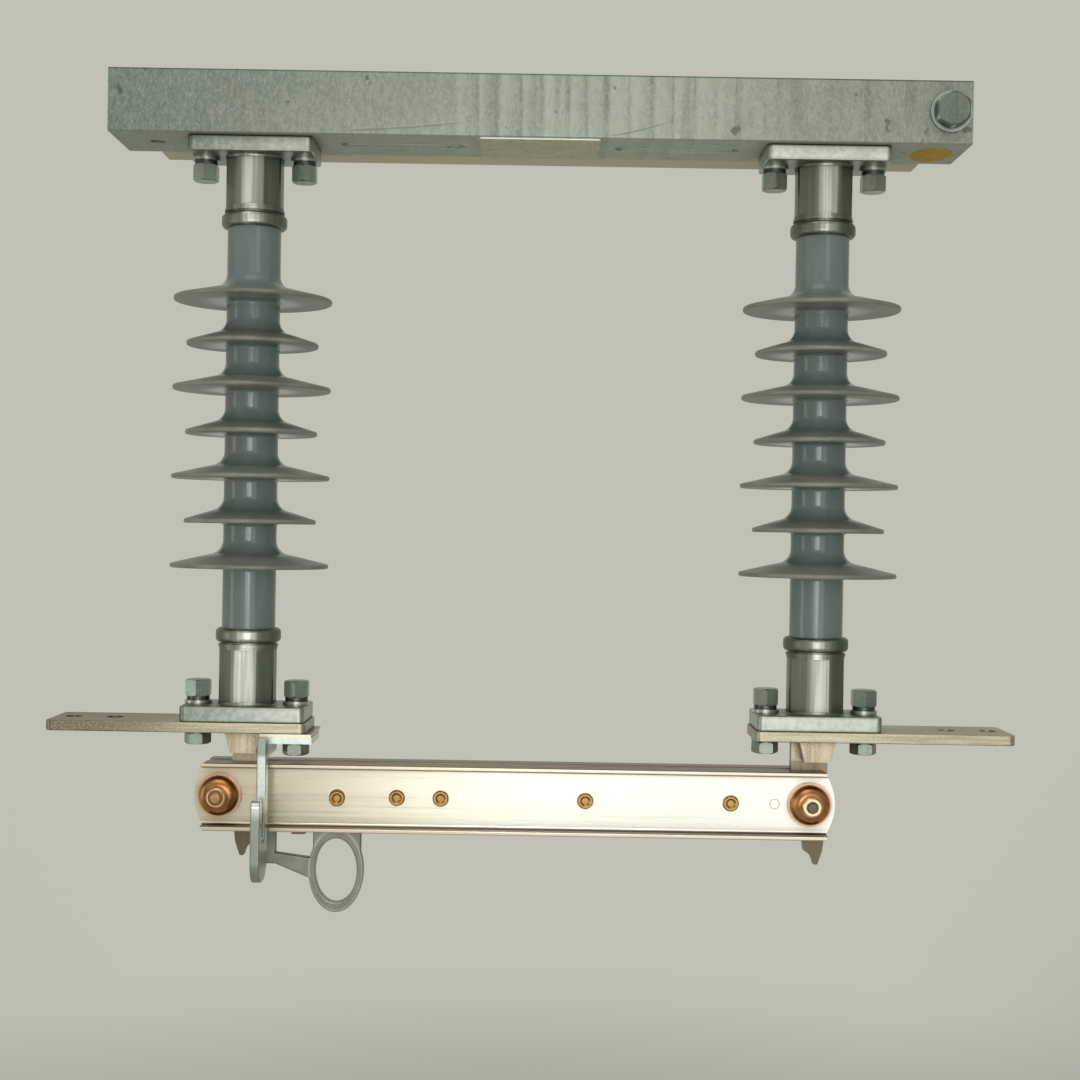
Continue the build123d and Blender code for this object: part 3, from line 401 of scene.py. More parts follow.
    def crevices(self, distance):
        """1 in the open and lower in corners and seams."""
        node = self.nodes.new("ShaderNodeAmbientOcclusion")
        node.samples = CREVICE_RAYS
        node.inputs["Distance"].default_value = distance
        return node.outputs["AO"]

    def blend(self, factor, a, b):
        """The first colour where the factor is 0 and the second where it is 1."""
        node = self.nodes.new("ShaderNodeMix")
        node.data_type = "RGBA"
        factor_socket, first_colour, second_colour = node.inputs[0], node.inputs[6], node.inputs[7]
        self.put(factor, factor_socket)
        self.put(a, first_colour)
        self.put(b, second_colour)
        return node.outputs[2]

    def colour(self, socket):
        self.links.new(socket, self.shader.inputs["Base Color"])

    def rough(self, socket):
        self.links.new(socket, self.shader.inputs["Roughness"])

    def bump(self, height, distance, strength):
        """Adds a fine relief to what earlier calls made."""
        node = self.nodes.new("ShaderNodeBump")
        node.inputs["Strength"].default_value = strength
        node.inputs["Distance"].default_value = distance
        self.links.new(height, node.inputs["Height"])
        if self.normal is not None:
            self.links.new(self.normal, node.inputs["Normal"])
        self.normal = node.outputs["Normal"]
        self.links.new(self.normal, self.shader.inputs["Normal"])


def galvanised_steel():
    """The base: fine zinc crystals, clouds, drip marks on the right half and two long scratches."""
    finish = Finish("galvanised_steel", 0.5, 0.48)
    x = finish.axis("X")
    z = finish.axis("Z")
    crystals = finish.ramp(finish.cells(430, (1, 1, 2.2)), 0.25, 0.75)
    grain = finish.noise(900, 3.0, stretch=(1, 1, 2.5), roughness=0.7)
    drips = finish.noise(70, 3.0, stretch=(1, 1, 16), distortion=0.15)
    runs = finish.noise(21, 3.0, stretch=(1, 1, 7), distortion=0.2)
    clouds = finish.noise(11, 4.0, stretch=(1.5, 1, 1))
    tints = finish.noise(26, 3.0)
    right_half = finish.ramp(x, *BASE_RIGHT_HALF, 0.12, 1.0, smooth=True)
    painted_shade_left_end = finish.ramp(x, *BASE_LEFT_END, 1.0, 0.0, smooth=True)
    right_end = finish.ramp(x, *BASE_RIGHT_END, 0.0, 0.5, smooth=True)
    shade = finish.blend(finish.ramp(clouds, 0.34, 0.66), (0.215, 0.255, 0.205), (0.30, 0.33, 0.265))
    shade = finish.blend(finish.ramp(tints, 0.5, 0.72, 0.0, 0.4), shade, (0.30, 0.275, 0.225))
    pale_runs = finish.product(finish.ramp(runs, 0.42, 0.62, 0.0, 0.7), right_half)
    shade = finish.blend(pale_runs, shade, (0.40, 0.435, 0.355))
    more_above = finish.ramp(z, *DRIP_HEIGHTS, 0.2, 0.7, smooth=True)
    drip_marks = finish.product(finish.ramp(drips, 0.52, 0.60, smooth=True), more_above)
    shade = finish.blend(finish.product(drip_marks, right_half), shade, (0.185, 0.21, 0.175))
    bands = finish.drip_bands(DRIP_SPACING, (1, 1, 9))
    banded = finish.product(finish.ramp(x, *DRIP_BANDS_START, smooth=True),
                            finish.ramp(x, *DRIP_BANDS_END, 1.0, 0.15, smooth=True))
    pale = finish.product(finish.ramp(bands, 0.12, 0.24), finish.ramp(bands, 0.3, 1.0, 0.55, 0.0))
    shade = finish.blend(finish.product(pale, banded), shade, (0.47, 0.50, 0.42))
    fronts = finish.product(finish.ramp(bands, 0.0, 0.13, 0.75, 0.0), more_above)
    shade = finish.blend(finish.product(fronts, banded), shade, (0.14, 0.165, 0.135))
    # Painted shade: the base darker towards its left end.
    shade = finish.blend(finish.product(painted_shade_left_end, 0.75), shade, (0.12, 0.165, 0.145))
    shade = finish.blend(right_end, shade, (0.17, 0.215, 0.18))
    shade = finish.blend(finish.ramp(crystals, 0, 1, 0.0, 0.20), shade, (0.40, 0.43, 0.36))
    shade = finish.blend(finish.ramp(crystals, 0, 1, 0.15, 0.0), shade, (0.12, 0.14, 0.11))
    shade = finish.blend(finish.ramp(grain, 0.46, 0.72, 0.0, 0.5), shade, (0.46, 0.50, 0.43))
    spots = finish.ramp(finish.noise(75, 2.0), 0.69, 0.74)
    shade = finish.blend(finish.product(spots, 0.7), shade, (0.07, 0.085, 0.07))
    scratches = finish.sum(*(finish.scratch(start, end) for start, end in SCRATCHES))
    shade = finish.blend(finish.product(scratches, 0.55), shade, (0.10, 0.12, 0.095))
    # Painted light: the underside of the web lighter.
    below = finish.ramp(z, *BASE_LOWER_FACE, 0.35, 0.0)
    shade = finish.blend(below, shade, (0.44, 0.47, 0.38))
    # Painted shade: a dark line along the top edge.
    painted_shade_top_edge = finish.ramp(z, *BASE_TOP_EDGE, 0.0, 0.7, smooth=True)
    shade = finish.blend(painted_shade_top_edge, shade, (0.055, 0.08, 0.075))
    # Painted shade in corners and seams.
    shade = finish.blend(finish.ramp(finish.crevices(0.02), 0.35, 0.85, 0.6, 0.0), shade, (0.08, 0.095, 0.07))
    # Painted light: the far wall of each beam slot paler.
    in_web = finish.product(finish.ramp(z, *SLOT_WALL_BOTTOM), finish.ramp(z, *SLOT_WALL_TOP, 1.0, 0.0))
    painted_light_slot_wall = finish.product(finish.band("Y", (BEAM_SLOT_BACK,), HALF_SLOT_WALL), in_web)
    shade = finish.blend(finish.product(painted_light_slot_wall, 0.7), shade, (0.55, 0.64, 0.585))
    finish.colour(shade)
    finish.rough(finish.ramp(drips, *NOISE_SPAN, 0.42, 0.58))
    finish.bump(drips, 0.0008, 0.3)
    finish.bump(grain, 0.0003, 0.5)
    finish.bump(finish.difference(1.0, scratches), 0.0006, 0.4)
    return finish.material


def zinc(name, dark, light, roughness):
    """Zinc on the bolts and the hook: stains, a fine vertical grain and speckles."""
    finish = Finish(name, 0.85, roughness)
    stains = finish.noise(34, 4.0, stretch=(1, 1, 2.2))
    lines = finish.noise(300, 2.0, stretch=(1, 1, 16))
    speckles = finish.noise(520, 3.0, roughness=0.65)
    lighter = tuple(1.25 * level for level in light)
    shade = finish.blend(finish.ramp(stains, *NOISE_SPAN), dark, light)
    shade = finish.blend(finish.ramp(lines, 0.38, 0.7, 0.0, 0.4), shade, light)
    shade = finish.blend(finish.ramp(speckles, 0.48, 0.72, 0.0, 0.45), shade, lighter)
    finish.bump(lines, 0.0001, 0.3)
    finish.bump(speckles, 0.00015, 0.45)
    finish.rough(finish.ramp(stains, *NOISE_SPAN, roughness + 0.07, roughness - 0.06))
    return finish, shade


def shade_seams(finish, shade, seam_shade_colour):
    """The finished material, with painted shade laid into its corners and seams over the colour."""
    finish.colour(finish.blend(finish.ramp(finish.crevices(0.008), 0.3, 0.9, 0.75, 0.0), shade, seam_shade_colour))
    return finish.material


def flange_bolts():
    """Hexagons dull and dark, flat washers bright with a painted highlight, spring washers nearly black with
    painted shade.
    """
    finish, shade = zinc("zinc_bolts", (0.18, 0.22, 0.18), (0.34, 0.385, 0.33), 0.28)
    painted_highlight_flat_washer = finish.band("Z", FLAT_WASHER_LEVELS, HALF_WASHER)
    painted_shade_spring_washer = finish.band("Z", SPRING_WASHER_LEVELS, HALF_WASHER)
    # Painted highlight on the flat washers, painted shade on the spring washers.
    shade = finish.blend(painted_highlight_flat_washer, shade, (0.55, 0.60, 0.52))
    shade = finish.blend(finish.product(painted_shade_spring_washer, 0.85), shade, (0.04, 0.048, 0.038))
    return shade_seams(finish, shade, (0.05, 0.06, 0.045))


def earth_bolt():
    """A dull head on a washer made bright with a painted highlight."""
    finish, shade = zinc("galvanised_bolt", (0.105, 0.135, 0.105), (0.20, 0.235, 0.195), 0.44)
    from_axis = finish.across(finish.axis("X"), EARTH_BOLT_X, finish.axis("Z"), EARTH_BOLT_Z)
    # Painted highlight: the washer bright where it shows round the head.
    painted_highlight_washer = finish.ramp(from_axis, *EARTH_WASHER_SHOWS, 0.0, 0.85)
    shade = finish.blend(painted_highlight_washer, shade, (0.50, 0.56, 0.50))
    return shade_seams(finish, shade, (0.035, 0.045, 0.035))


def guide_hook():
    """Smooth zinc, bright on the leg and duller on the horn below the blade's middle, with a painted
    highlight down its right edge and painted shade along its left edge and at the top of its shank.
    """
    finish, shade = zinc("galvanised_hook", (0.50, 0.56, 0.53), (0.70, 0.75, 0.72), 0.3)
    x = finish.axis("X")
    z = finish.axis("Z")
    under_foot = finish.ramp(z, *BELOW_HOOK_FOOT, 1.0, 0.0)
    # Painted highlight: a pale line down the right edge, below the foot.
    painted_highlight_right_edge = finish.ramp(x, *HOOK_RIGHT_EDGE, 0.0, 0.6)
    shade = finish.blend(finish.product(painted_highlight_right_edge, under_foot), shade, (0.80, 0.79, 0.62))
    # Painted shade: a dark line along the left edge.
    painted_shade_left_edge = finish.ramp(x, *HOOK_LEFT_EDGE, 0.7, 0.0)
    shade = finish.blend(painted_shade_left_edge, shade, (0.17, 0.20, 0.175))
    # Painted shade: the shank darker at its top, by the foot.
    on_shank = finish.ramp(x, *HOOK_SHANK_END, 1.0, 0.0)
    painted_shade_root = finish.ramp(z, *HOOK_ROOT, 0.0, 0.75, smooth=True)
    shade = finish.blend(finish.product(painted_shade_root, on_shank), shade, (0.17, 0.205, 0.175))
    lower = finish.ramp(z, *HOOK_HORN_TOP, 1.0, 0.0, smooth=True)
    shade = finish.blend(finish.product(lower, 0.85), shade, (0.25, 0.285, 0.245))
    return shade_seams(finish, shade, (0.06, 0.07, 0.055))


def zinc_fitting():
    """The insulators' end fittings: smooth streaked sleeves with a painted highlight down the middle and
    painted shade, dark, at the sides, and paler flanges with painted shade on the left and lower ones.
    """
    finish = Finish("zinc_fitting", 0.95, 0.24)
    x = finish.axis("X")
    stains = finish.noise(40, 4.0, stretch=(1, 1, 2.5))
    streaks = finish.noise(95, 2.0, stretch=(1, 1, 30))
    lines = finish.noise(420, 2.0, stretch=(1, 1, 40))
    mottles = finish.noise(230, 3.0)
    nearer_axis = finish.ramp(x, *LEFT_TO_RIGHT, -INSULATOR_X, INSULATOR_X)
    right = finish.difference(x, nearer_axis)
    aside = finish.maths("ABSOLUTE", right)
    from_painted_highlight = finish.apart(right, SLEEVE_PAINTED_HIGHLIGHT_X)
    sleeve = finish.blend(finish.ramp(streaks, 0.38, 0.62), (0.22, 0.25, 0.19), (0.44, 0.475, 0.42))
    # Painted shade: each sleeve darker towards its sides.
    sides = finish.ramp(aside, *SLEEVE_SIDES, 0.0, 0.75, smooth=True)
    sleeve = finish.blend(sides, sleeve, (0.15, 0.175, 0.13))
    # Painted highlight: a pale band down each sleeve, front and back, a little left of its axis.
    painted_highlight_band = finish.ramp(from_painted_highlight, 0.0, SLEEVE_PAINTED_HIGHLIGHT_REACH, 0.5, 0.0, smooth=True)
    sleeve = finish.blend(painted_highlight_band, sleeve, (0.72, 0.75, 0.72))
    sleeve = finish.blend(finish.ramp(lines, 0.40, 0.54, 0.5, 0.0), sleeve, (0.17, 0.195, 0.145))
    # Painted shade: the sleeves of the right insulator darker.
    sleeve = finish.blend(finish.ramp(x, *LEFT_TO_RIGHT, 0.0, 0.25), sleeve, (0.07, 0.085, 0.05))
    # Painted shade on the left flanges, passing into painted light on the right ones.
    painted_light_to_right = finish.ramp(x, *LEFT_FLANGES, 0.0, 1.0, smooth=True)
    flange = finish.blend(painted_light_to_right, (0.20, 0.24, 0.215), (0.52, 0.56, 0.51))
    flange = finish.blend(finish.ramp(mottles, 0.42, 0.65, 0.0, 0.4), flange, (0.62, 0.67, 0.62))
    flange = finish.blend(finish.ramp(stains, 0.5, 0.75, 0.0, 0.6), flange, (0.30, 0.33, 0.27))
    flange = finish.blend(finish.ramp(mottles, 0.30, 0.50, 0.4, 0.0), flange, (0.27, 0.30, 0.26))
    # Painted shade: the lower flanges darker.
    painted_shade_low_flanges = finish.ramp(finish.axis("Z"), *LOWER_FLANGES, 0.28, 0.0)
    flange = finish.blend(painted_shade_low_flanges, flange, (0.19, 0.22, 0.185))
    on_face = finish.band("Z", FLANGE_LEVELS, HALF_FLANGE_FACE)
    # Painted shade: each flange darker and yellower towards its top and bottom edges.
    flange = finish.blend(finish.ramp(on_face, 0, 1, 0.45, 0.0), flange, (0.26, 0.27, 0.19))
    shade = finish.blend(finish.band("Z", FLANGE_LEVELS, HALF_FLANGE), sleeve, flange)
    finish.rough(finish.ramp(stains, *NOISE_SPAN, 0.43, 0.35))
    finish.bump(streaks, 0.0002, 0.2)
    finish.bump(mottles, 0.00012, 0.35)
    return shade_seams(finish, shade, (0.06, 0.07, 0.045))


def grey_rubber():
    """Silicone rubber: blue-grey on the core, browner with dust on the sheds."""
    finish = Finish("grey_rubber", 0.0, 0.26)
    finish.shader.inputs["Specular IOR Level"].default_value = 0.38
    either_side = finish.maths("ABSOLUTE", finish.axis("X"))
    from_axis = finish.across(either_side, INSULATOR_X, finish.axis("Y"), INSULATOR_Y)
    on_shed = finish.ramp(from_axis, *CORE_TO_SHED, smooth=True)
    dust = finish.noise(46, 5.0)
    smears = finish.noise(120, 4.0, stretch=(1, 1, 3))
    rings = finish.sum(from_axis, finish.ramp(finish.noise(30, 2.0), 0, 1, 0, 0.004))
    circles = finish.nodes.new("ShaderNodeTexNoise")
    circles.noise_dimensions = "1D"
    circles.inputs["Scale"].default_value = 700
    finish.links.new(rings, circles.inputs["W"])
    pale_circles = finish.ramp(circles.outputs["Fac"], 0.45, 0.65, 0.0, 0.35)
    shade = finish.blend(finish.ramp(smears, *NOISE_SPAN), (0.148, 0.192, 0.170), (0.186, 0.227, 0.201))
    dusty = finish.blend(finish.ramp(dust, 0.32, 0.68), (0.150, 0.160, 0.120), (0.250, 0.250, 0.195))
    dusty = finish.blend(pale_circles, dusty, (0.36, 0.355, 0.30))
    finish.colour(finish.blend(finish.product(on_shed, 0.85), shade, dusty))
    finish.rough(finish.sum(finish.ramp(dust, *NOISE_SPAN, 0.12, 0.19), finish.product(on_shed, 0.22)))
    finish.bump(finish.noise(800, 2.0), 0.00003, 0.35)
    finish.bump(smears, 0.00012, 0.2)
    return finish.material


def tinned_copper():
    """Tinned copper: warm grey with drawn lines, lengthways on the bars and downwards on the posts."""
    finish = Finish("tinned_copper", 0.85, 0.36)
    x = finish.axis("X")
    z = finish.axis("Z")
    lengthways = finish.noise(420, 3.0, stretch=(26, 1, 1))
    downwards = finish.noise(300, 3.0, stretch=(1, 1, 22))
    below_bar = finish.ramp(z, *BELOW_BARS, 1.0, 0.0)
    lines = finish.sum(finish.product(lengthways, finish.difference(1.0, below_bar)),
                       finish.product(downwards, below_bar))
    tarnish = finish.noise(24, 5.0, stretch=(3, 1, 1))
    speckles = finish.noise(600, 3.0, roughness=0.7)
    shade = finish.blend(finish.ramp(tarnish, 0.32, 0.68), (0.43, 0.385, 0.275), (0.60, 0.545, 0.42))
    # Painted shade: the left terminal bar darker towards its left end.
    painted_shade_left_end = finish.ramp(x, *BAR_LEFT_END, 0.9, 0.1, smooth=True)
    shade = finish.blend(painted_shade_left_end, shade, (0.16, 0.14, 0.095))
    shade = finish.blend(finish.product(below_bar, 0.5), shade, (0.56, 0.455, 0.34))
    shade = finish.blend(finish.ramp(lines, 0.36, 0.62, 0.6, 0.0), shade, (0.22, 0.175, 0.11))
    # Painted highlight: a pale line along the jaw pad.
    beside_post = finish.product(finish.ramp(x, *PAD_LEFT_END),
                                 finish.ramp(x, *PAD_RIGHT_END, 1.0, 0.0))
    painted_highlight_pad = finish.product(finish.band("Z", (PAD_LEVEL,), HALF_PAD), beside_post)
    shade = finish.blend(finish.product(painted_highlight_pad, 0.7), shade, (0.86, 0.80, 0.64))
    shade = finish.blend(finish.ramp(speckles, 0.5, 0.75, 0.0, 0.5), shade, (0.74, 0.69, 0.57))
    # Painted shade: what reaches below the blade much darker.
    painted_shade_below_blade = finish.ramp(z, *BELOW_BLADE, 0.88, 0.0, smooth=True)
    shade = finish.blend(painted_shade_below_blade, shade, (0.085, 0.07, 0.042))
    # Painted shade just below each post, stronger at the hinge.
    painted_shade_neck = finish.ramp(z, *POST_NECK, 0.6, 0.0, smooth=True)
    at_hinge = finish.ramp(x, *LEFT_TO_RIGHT, 0.15, 1.0)
    shade = finish.blend(finish.product(painted_shade_neck, at_hinge), shade, (0.17, 0.135, 0.085))
    finish.rough(finish.ramp(tarnish, *NOISE_SPAN, 0.42, 0.32))
    finish.bump(lines, 0.0002, 0.4)
    finish.bump(speckles, 0.0001, 0.4)
    return shade_seams(finish, shade, (0.10, 0.075, 0.045))


def silvered_copper():
    """The blade: silvered copper brushed lengthways, tarnished at the lips, with painted shade towards the
    left and painted light towards the right.
    """
    finish = Finish("silvered_copper", 0.95, 0.3)
    x = finish.axis("X")
    z = finish.axis("Z")
    lines = finish.noise(650, 2.0, stretch=(90, 1, 1))
    bands = finish.noise(70, 3.0, stretch=(20, 1, 1))
    stains = finish.noise(16, 4.0, stretch=(2.5, 1, 1))
    specks = finish.ramp(finish.noise(260, 2.0), 0.74, 0.79)
    shade = finish.blend(finish.ramp(stains, *NOISE_SPAN), (0.78, 0.72, 0.61), (0.87, 0.82, 0.72))
    shade = finish.blend(finish.ramp(bands, 0.4, 0.6, 0.0, 0.4), shade, (0.94, 0.89, 0.80))
    shade = finish.blend(finish.ramp(lines, *NOISE_SPAN, 0.0, 0.3), shade, (0.72, 0.645, 0.52))
    # Painted light: the blade whiter towards its right end.
    painted_light_right_end = finish.ramp(x, *BLADE_PAINTED_LIGHT_END, 0.0, 0.7, smooth=True)
    shade = finish.blend(painted_light_right_end, shade, (0.77, 0.752, 0.727))
    # Painted shade: the blade darker towards its left end, where the brushing shows.
    painted_shade_left_end = finish.ramp(x, *BLADE_LEFT_END, 0.85, 0.0, smooth=True)
    shade = finish.blend(painted_shade_left_end, shade, (0.52, 0.46, 0.345))
    brushed = finish.ramp(finish.noise(300, 3.0, stretch=(40, 1, 1)), 0.35, 0.65, 0.0, 0.12)
    shade = finish.blend(finish.product(brushed, painted_shade_left_end), shade, (0.38, 0.33, 0.245))
    from_middle = finish.apart(z, BLADE_MIDDLE_Z)
    lips = finish.ramp(from_middle, *BLADE_LIPS, 0.0, 0.8, smooth=True)
    shade = finish.blend(finish.product(lips, 0.75), shade, (0.60, 0.50, 0.375))
    # Painted shade on the blade's top faces.
    painted_shade_top_faces = finish.ramp(z, *BLADE_TOP_FACES, 0.0, 0.85)
    shade = finish.blend(painted_shade_top_faces, shade, (0.11, 0.075, 0.045))
    # Painted shade: a dark line where each lip meets the face.
    painted_shade_seam = finish.product(lips, finish.ramp(from_middle, *BLADE_SEAM, 1, 0))
    shade = finish.blend(painted_shade_seam, shade, (0.07, 0.04, 0.02))
    for rivet_x in RIVETS_X:
        from_rivet = finish.across(x, rivet_x, z, BLADE_MIDDLE_Z)
        # Painted highlight: a pale ring round each rivet, and painted shade: a dark ring at the edge of its
        # head.
        painted_highlight_halo = finish.ramp(from_rivet, *RIVET_HALO, 0.8, 0.0)
        shade = finish.blend(painted_highlight_halo, shade, (0.97, 0.94, 0.85))
        rim = finish.ramp(from_rivet, *RIVET_RIM, 0.9, 0.0)
        shade = finish.blend(rim, shade, (0.20, 0.11, 0.045))
    shade = finish.blend(finish.product(specks, 0.4), shade, (0.30, 0.22, 0.13))
    finish.rough(finish.ramp(lines, *NOISE_SPAN, 0.25, 0.36))
    finish.bump(lines, 0.00002, 0.2)
    return shade_seams(finish, shade, (0.16, 0.11, 0.06))


def from_bolts(finish):
    """Distance from the nearer of the blade's two bolts."""
    at_jaw, at_hinge = (finish.across(finish.axis("X"), bolt_x, finish.axis("Z"), BLADE_MIDDLE_Z)
                        for bolt_x in (JAW_BOLT_X, HINGE_X))
    return finish.maths("MINIMUM", at_jaw, at_hinge)


def copper():
    """The spring cups: painted shade in brown round the bolt, orange further out, and a painted highlight on
    the pale rim.
    """
    finish = Finish("copper", 1.0, 0.27)
    from_bolt = from_bolts(finish)
    tarnish = finish.noise(110, 4.0)
    shade = finish.blend(finish.ramp(tarnish, *NOISE_SPAN), (0.36, 0.15, 0.055), (0.70, 0.335, 0.14))
    # Painted shade: the cup brown round the bolt.
    painted_shade_round_bolt = finish.ramp(from_bolt, *CUP_BROWN, 0.6, 0.0, smooth=True)
    shade = finish.blend(painted_shade_round_bolt, shade, (0.20, 0.075, 0.027))
    # Painted highlight: a pale ring at the cup's edge.
    rim = finish.ramp(from_bolt, *CUP_RIM, 0.0, 0.9, smooth=True)
    shade = finish.blend(rim, shade, (0.66, 0.45, 0.29))
    finish.rough(finish.ramp(tarnish, *NOISE_SPAN, 0.22, 0.36))
    finish.bump(finish.noise(500, 2.0), 0.00003, 0.3)
    return shade_seams(finish, shade, (0.11, 0.04, 0.015))


def bronze():
    """Bolts and rivets: dull gold. Each bolt's collar has a pale rim; the right one is pale, its pin dark."""
    finish = Finish("bronze", 1.0, 0.28)
    from_bolt = from_bolts(finish)
    tarnish = finish.noise(140, 4.0)
    shade = finish.blend(finish.ramp(tarnish, *NOISE_SPAN), (0.34, 0.19, 0.065), (0.66, 0.45, 0.21))
    shade = finish.blend(finish.ramp(from_bolt, *COLLAR_RIM, 0.0, 0.9), shade, (0.82, 0.70, 0.48))
    shade = finish.blend(finish.ramp(from_bolt, *COLLAR_EDGE, 0.0, 1.0), shade, (0.45, 0.27, 0.10))
    at_pin = finish.ramp(from_bolt, *PIN_EDGE, 1.0, 0.0)
    at_right = finish.ramp(finish.axis("X"), *HINGE_SIDE)
    on_collar = finish.product(finish.ramp(from_bolt, *COLLAR_RIM, 1.0, 0.0), finish.difference(1.0, at_pin))
    left_collar = finish.product(on_collar, finish.difference(1.0, at_right))
    shade = finish.blend(left_collar, shade, (0.20, 0.10, 0.035))
    shade = finish.blend(finish.product(on_collar, at_right), shade, (0.80, 0.68, 0.47))
    shade = finish.blend(finish.product(at_pin, at_right), shade, (0.12, 0.10, 0.065))
    finish.rough(finish.ramp(tarnish, *NOISE_SPAN, 0.22, 0.36))
    finish.bump(finish.noise(700, 2.0), 0.00003, 0.4)
    # Painted shade in corners and seams.
    painted_seam_shade = finish.ramp(finish.crevices(0.0025), 0.4, 0.97, 0.85, 0.0)
    finish.colour(finish.blend(painted_seam_shade, shade, (0.16, 0.075, 0.025)))
    return finish.material


def cast_grey():
    """The lever: a grey casting, with painted highlights along the edges of its ring."""
    finish = Finish("cast_grey", 0.75, 0.42)
    grain = finish.noise(620, 3.0, roughness=0.65)
    stains = finish.noise(70, 4.0)
    shade = finish.blend(finish.ramp(stains, *NOISE_SPAN), (0.175, 0.18, 0.15), (0.265, 0.27, 0.235))
    shade = finish.blend(finish.ramp(grain, 0.5, 0.75, 0.0, 0.5), shade, (0.38, 0.385, 0.34))
    right = finish.maths("DIVIDE", finish.difference(finish.axis("X"), RING_CENTRE[0]), RING_HALF_SIZE[0])
    up = finish.maths("DIVIDE", finish.difference(finish.axis("Z"), RING_CENTRE[1]), RING_HALF_SIZE[1])
    reach = finish.hypotenuse(right, up)
    # Painted highlights along both edges of the ring.
    painted_highlight_outer_edge = finish.ramp(finish.apart(reach, RING_OUTER_EDGE), 0.02, 0.05, 0.55, 0.0)
    painted_highlight_inner_edge = finish.ramp(finish.apart(reach, RING_INNER_EDGE), 0.01, 0.035, 0.6, 0.0)
    shade = finish.blend(finish.maths("MAXIMUM", painted_highlight_outer_edge, painted_highlight_inner_edge), shade, (0.48, 0.48, 0.42))
    finish.rough(finish.ramp(grain, *NOISE_SPAN, 0.36, 0.52))
    finish.bump(grain, 0.00015, 0.45)
    return shade_seams(finish, shade, (0.06, 0.06, 0.05))


def beige_paint():
    """The mounting bar: old paint with long stains and a few chips."""
    finish = Finish("beige_paint", 0.0, 0.45)
    stains = finish.noise(18, 4.0, stretch=(3, 1, 1))
    shade = finish.blend(finish.ramp(stains, *NOISE_SPAN), (0.44, 0.41, 0.295), (0.56, 0.53, 0.39))
    chips = finish.ramp(finish.noise(130, 3.0), 0.70, 0.74)
    finish.colour(finish.blend(finish.product(chips, 0.6), shade, (0.17, 0.14, 0.09)))
    finish.bump(finish.noise(300, 2.0), 0.00006, 0.4)
    return finish.material


def plain_plate():
    """The bare plate: worn metal with small dull stains and a painted highlight along its front edge."""
    finish = Finish("plain_plate", 0.45, 0.55)
    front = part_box("nameplate")[0][1]
    highlight_full_at, dull = (front + depth for depth in PLATE_EDGE_DEPTH)
    stains = finish.noise(60, 5.0)
    specks = finish.ramp(finish.noise(330, 3.0), 0.56, 0.66)
    shade = finish.blend(finish.ramp(stains, *NOISE_SPAN), (0.42, 0.41, 0.28), (0.56, 0.56, 0.41))
    shade = finish.blend(finish.product(specks, 0.55), shade, (0.22, 0.21, 0.13))
    # Painted highlight: a pale line along the plate's front edge.
    edge = finish.ramp(finish.axis("Y"), highlight_full_at, dull, 1.0, 0.0)
    finish.colour(finish.blend(edge, shade, (0.95, 0.94, 0.90)))
    finish.rough(finish.ramp(stains, *NOISE_SPAN, 0.5, 0.62))
    finish.bump(stains, 0.0001, 0.2)
    return finish.material


def ochre_label():
    """A bare plastic label, faded, with worn patches."""
    finish = Finish("ochre_label", 0.0, 0.5)
    finish.shader.inputs["Specular IOR Level"].default_value = 0.1
    stains = finish.noise(120, 4.0)
    shade = finish.blend(finish.ramp(stains, *NOISE_SPAN), (0.40, 0.235, 0.003), (0.54, 0.335, 0.008))
    worn = finish.ramp(finish.noise(210, 3.0), 0.60, 0.68)
    finish.colour(finish.blend(finish.product(worn, 0.55), shade, (0.13, 0.09, 0.01)))
    finish.bump(stains, 0.00005, 0.4)
    return finish.material


def pale_floor():
    """The floor near the object, which passes into the backdrop's colour further out."""
    finish = Finish("pale_floor", 0.0, 0.9)
    grain = finish.noise(2.5, 2.0)
    darker = tuple(0.98 * level for level in FLOOR_COLOUR)
    finish.colour(finish.blend(finish.ramp(grain, *NOISE_SPAN), darker, FLOOR_COLOUR))
    reach = finish.across(finish.axis("X"), 0, finish.axis("Y"), 0)
    far = finish.product(finish.ramp(reach, *FLOOR_FADE, smooth=True), seen_ray(finish.tree))
    glow = finish.nodes.new("ShaderNodeEmission")
    glow.inputs["Color"].default_value = (*BACKDROP_COLOUR, 1.0)
    right = finish.maths("DIVIDE", finish.axis("X"), reach)
    finish.links.new(side_level(finish.tree, right), glow.inputs["Strength"])
    mix = finish.nodes.new("ShaderNodeMixShader")
    finish.links.new(far, mix.inputs[0])
    finish.links.new(finish.shader.outputs[0], mix.inputs[1])
    finish.links.new(glow.outputs[0], mix.inputs[2])
    finish.links.new(mix.outputs[0], finish.nodes["Material Output"].inputs["Surface"])
    return finish.material


def settle(piece):
    """Puts a finished piece's place and size into its mesh."""
    bpy.ops.object.select_all(action="DESELECT")
    piece.select_set(True)
    bpy.context.view_layer.objects.active = piece
    bpy.ops.object.transform_apply(location=True, rotation=True, scale=True)


def studio_floor(finish):
    """The floor, which isn't part of the object."""
    bpy.ops.object.select_all(action="DESELECT")
    bpy.ops.mesh.primitive_plane_add(size=2 * FLOOR_HALF_WIDTH, location=(0, 0, FLOOR_LEVEL))
    floor = bpy.context.object
    floor.name = "studio_floor"
    settle(floor)
    floor.data.materials.append(finish)


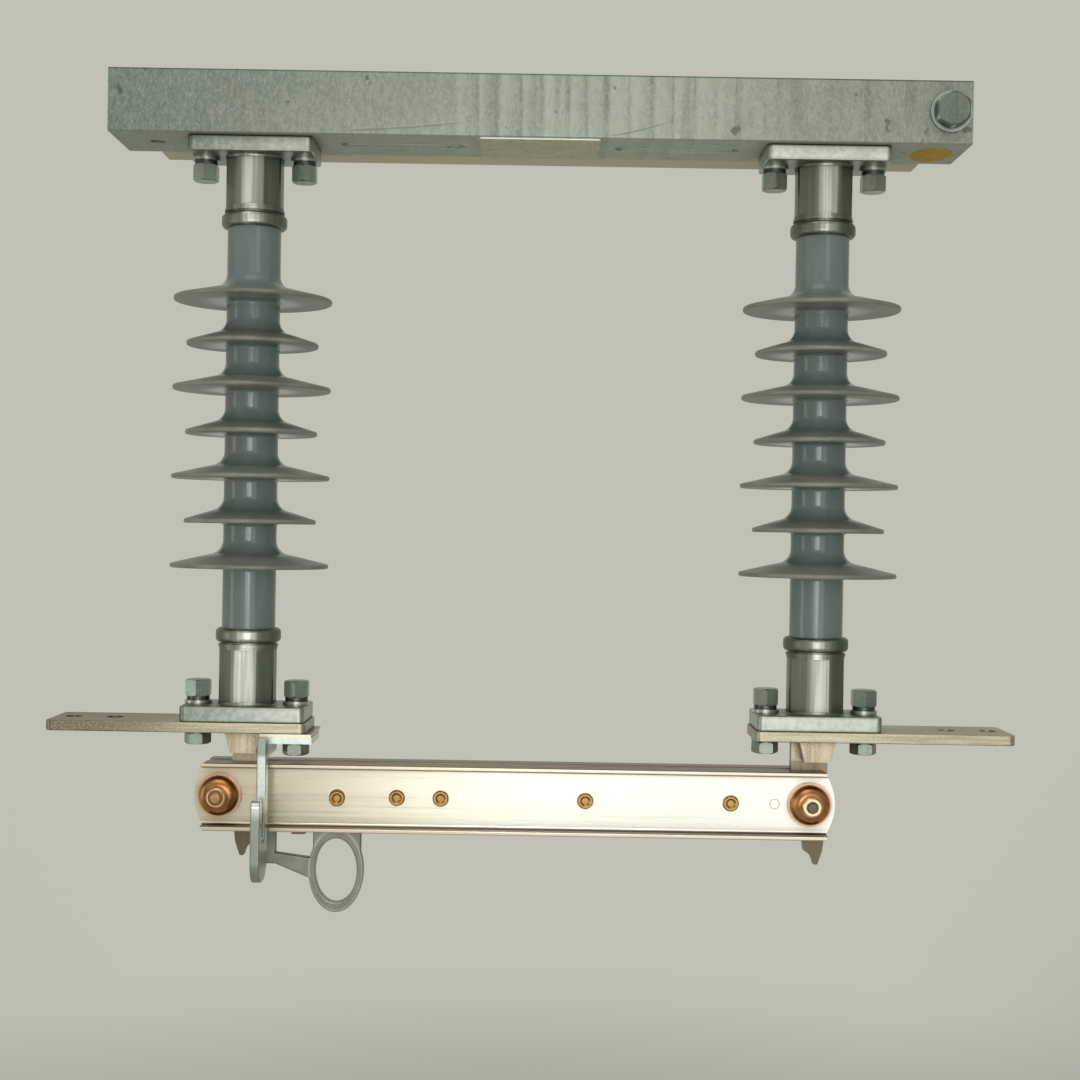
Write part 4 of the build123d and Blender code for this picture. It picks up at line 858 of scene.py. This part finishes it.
def oval_label(finish):
    """The bare oval label under the right end of the base, its underside a little domed."""
    under_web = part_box("nameplate")[1][2]
    bpy.ops.object.select_all(action="DESELECT")
    bpy.ops.mesh.primitive_cylinder_add(vertices=LABEL_CORNERS, radius=1, depth=LABEL_THICKNESS,
                                        location=(*LABEL_CENTRE, under_web - LABEL_THICKNESS / 2))
    label = bpy.context.object
    label.name = "oval_label"
    label.scale = (*LABEL_HALF_SIZE, 1)
    settle(label)
    bpy.ops.object.mode_set(mode="EDIT")
    bpy.ops.mesh.select_all(action="DESELECT")
    bpy.ops.object.mode_set(mode="OBJECT")
    lowest = min(face.center.z for face in label.data.polygons)
    for face in label.data.polygons:
        face.select = face.center.z < lowest + LABEL_THICKNESS / 4
    bpy.ops.object.mode_set(mode="EDIT")
    bpy.ops.mesh.inset(thickness=LABEL_THICKNESS)
    bpy.ops.transform.translate(value=(0, 0, -LABEL_THICKNESS / 8))
    bpy.ops.object.mode_set(mode="OBJECT")
    bpy.ops.object.shade_smooth_by_angle(angle=math.radians(LABEL_SMOOTH_DEGREES))
    label.data.materials.append(finish)
    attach(label, "fixed_frame")


def dress(finishes):
    """Gives every CAD node the finish of its material slot."""
    slot_of = {piece["node"]: piece["material_slot"] for piece in frame["record"]["subparts"]}
    for name, node in frame["nodes"].items():
        node.data.materials.clear()
        node.data.materials.append(finishes[slot_of[name]])


bpy.context.scene.view_settings.view_transform = "Standard"
bpy.ops.object.select_all(action="DESELECT")
camera()
world_light()
for lamp in LAMPS:
    area_lamp(*lamp)
dress({
    "galvanised_steel": galvanised_steel(),
    "galvanised_bolt": earth_bolt(),
    "galvanised_hook": guide_hook(),
    "zinc_fitting": zinc_fitting(),
    "zinc_bolts": flange_bolts(),
    "beige_paint": beige_paint(),
    "plain_plate": plain_plate(),
    "grey_rubber": grey_rubber(),
    "tinned_copper": tinned_copper(),
    "silvered_copper": silvered_copper(),
    "copper": copper(),
    "bronze": bronze(),
    "cast_grey": cast_grey(),
})
oval_label(ochre_label())
studio_floor(pale_floor())
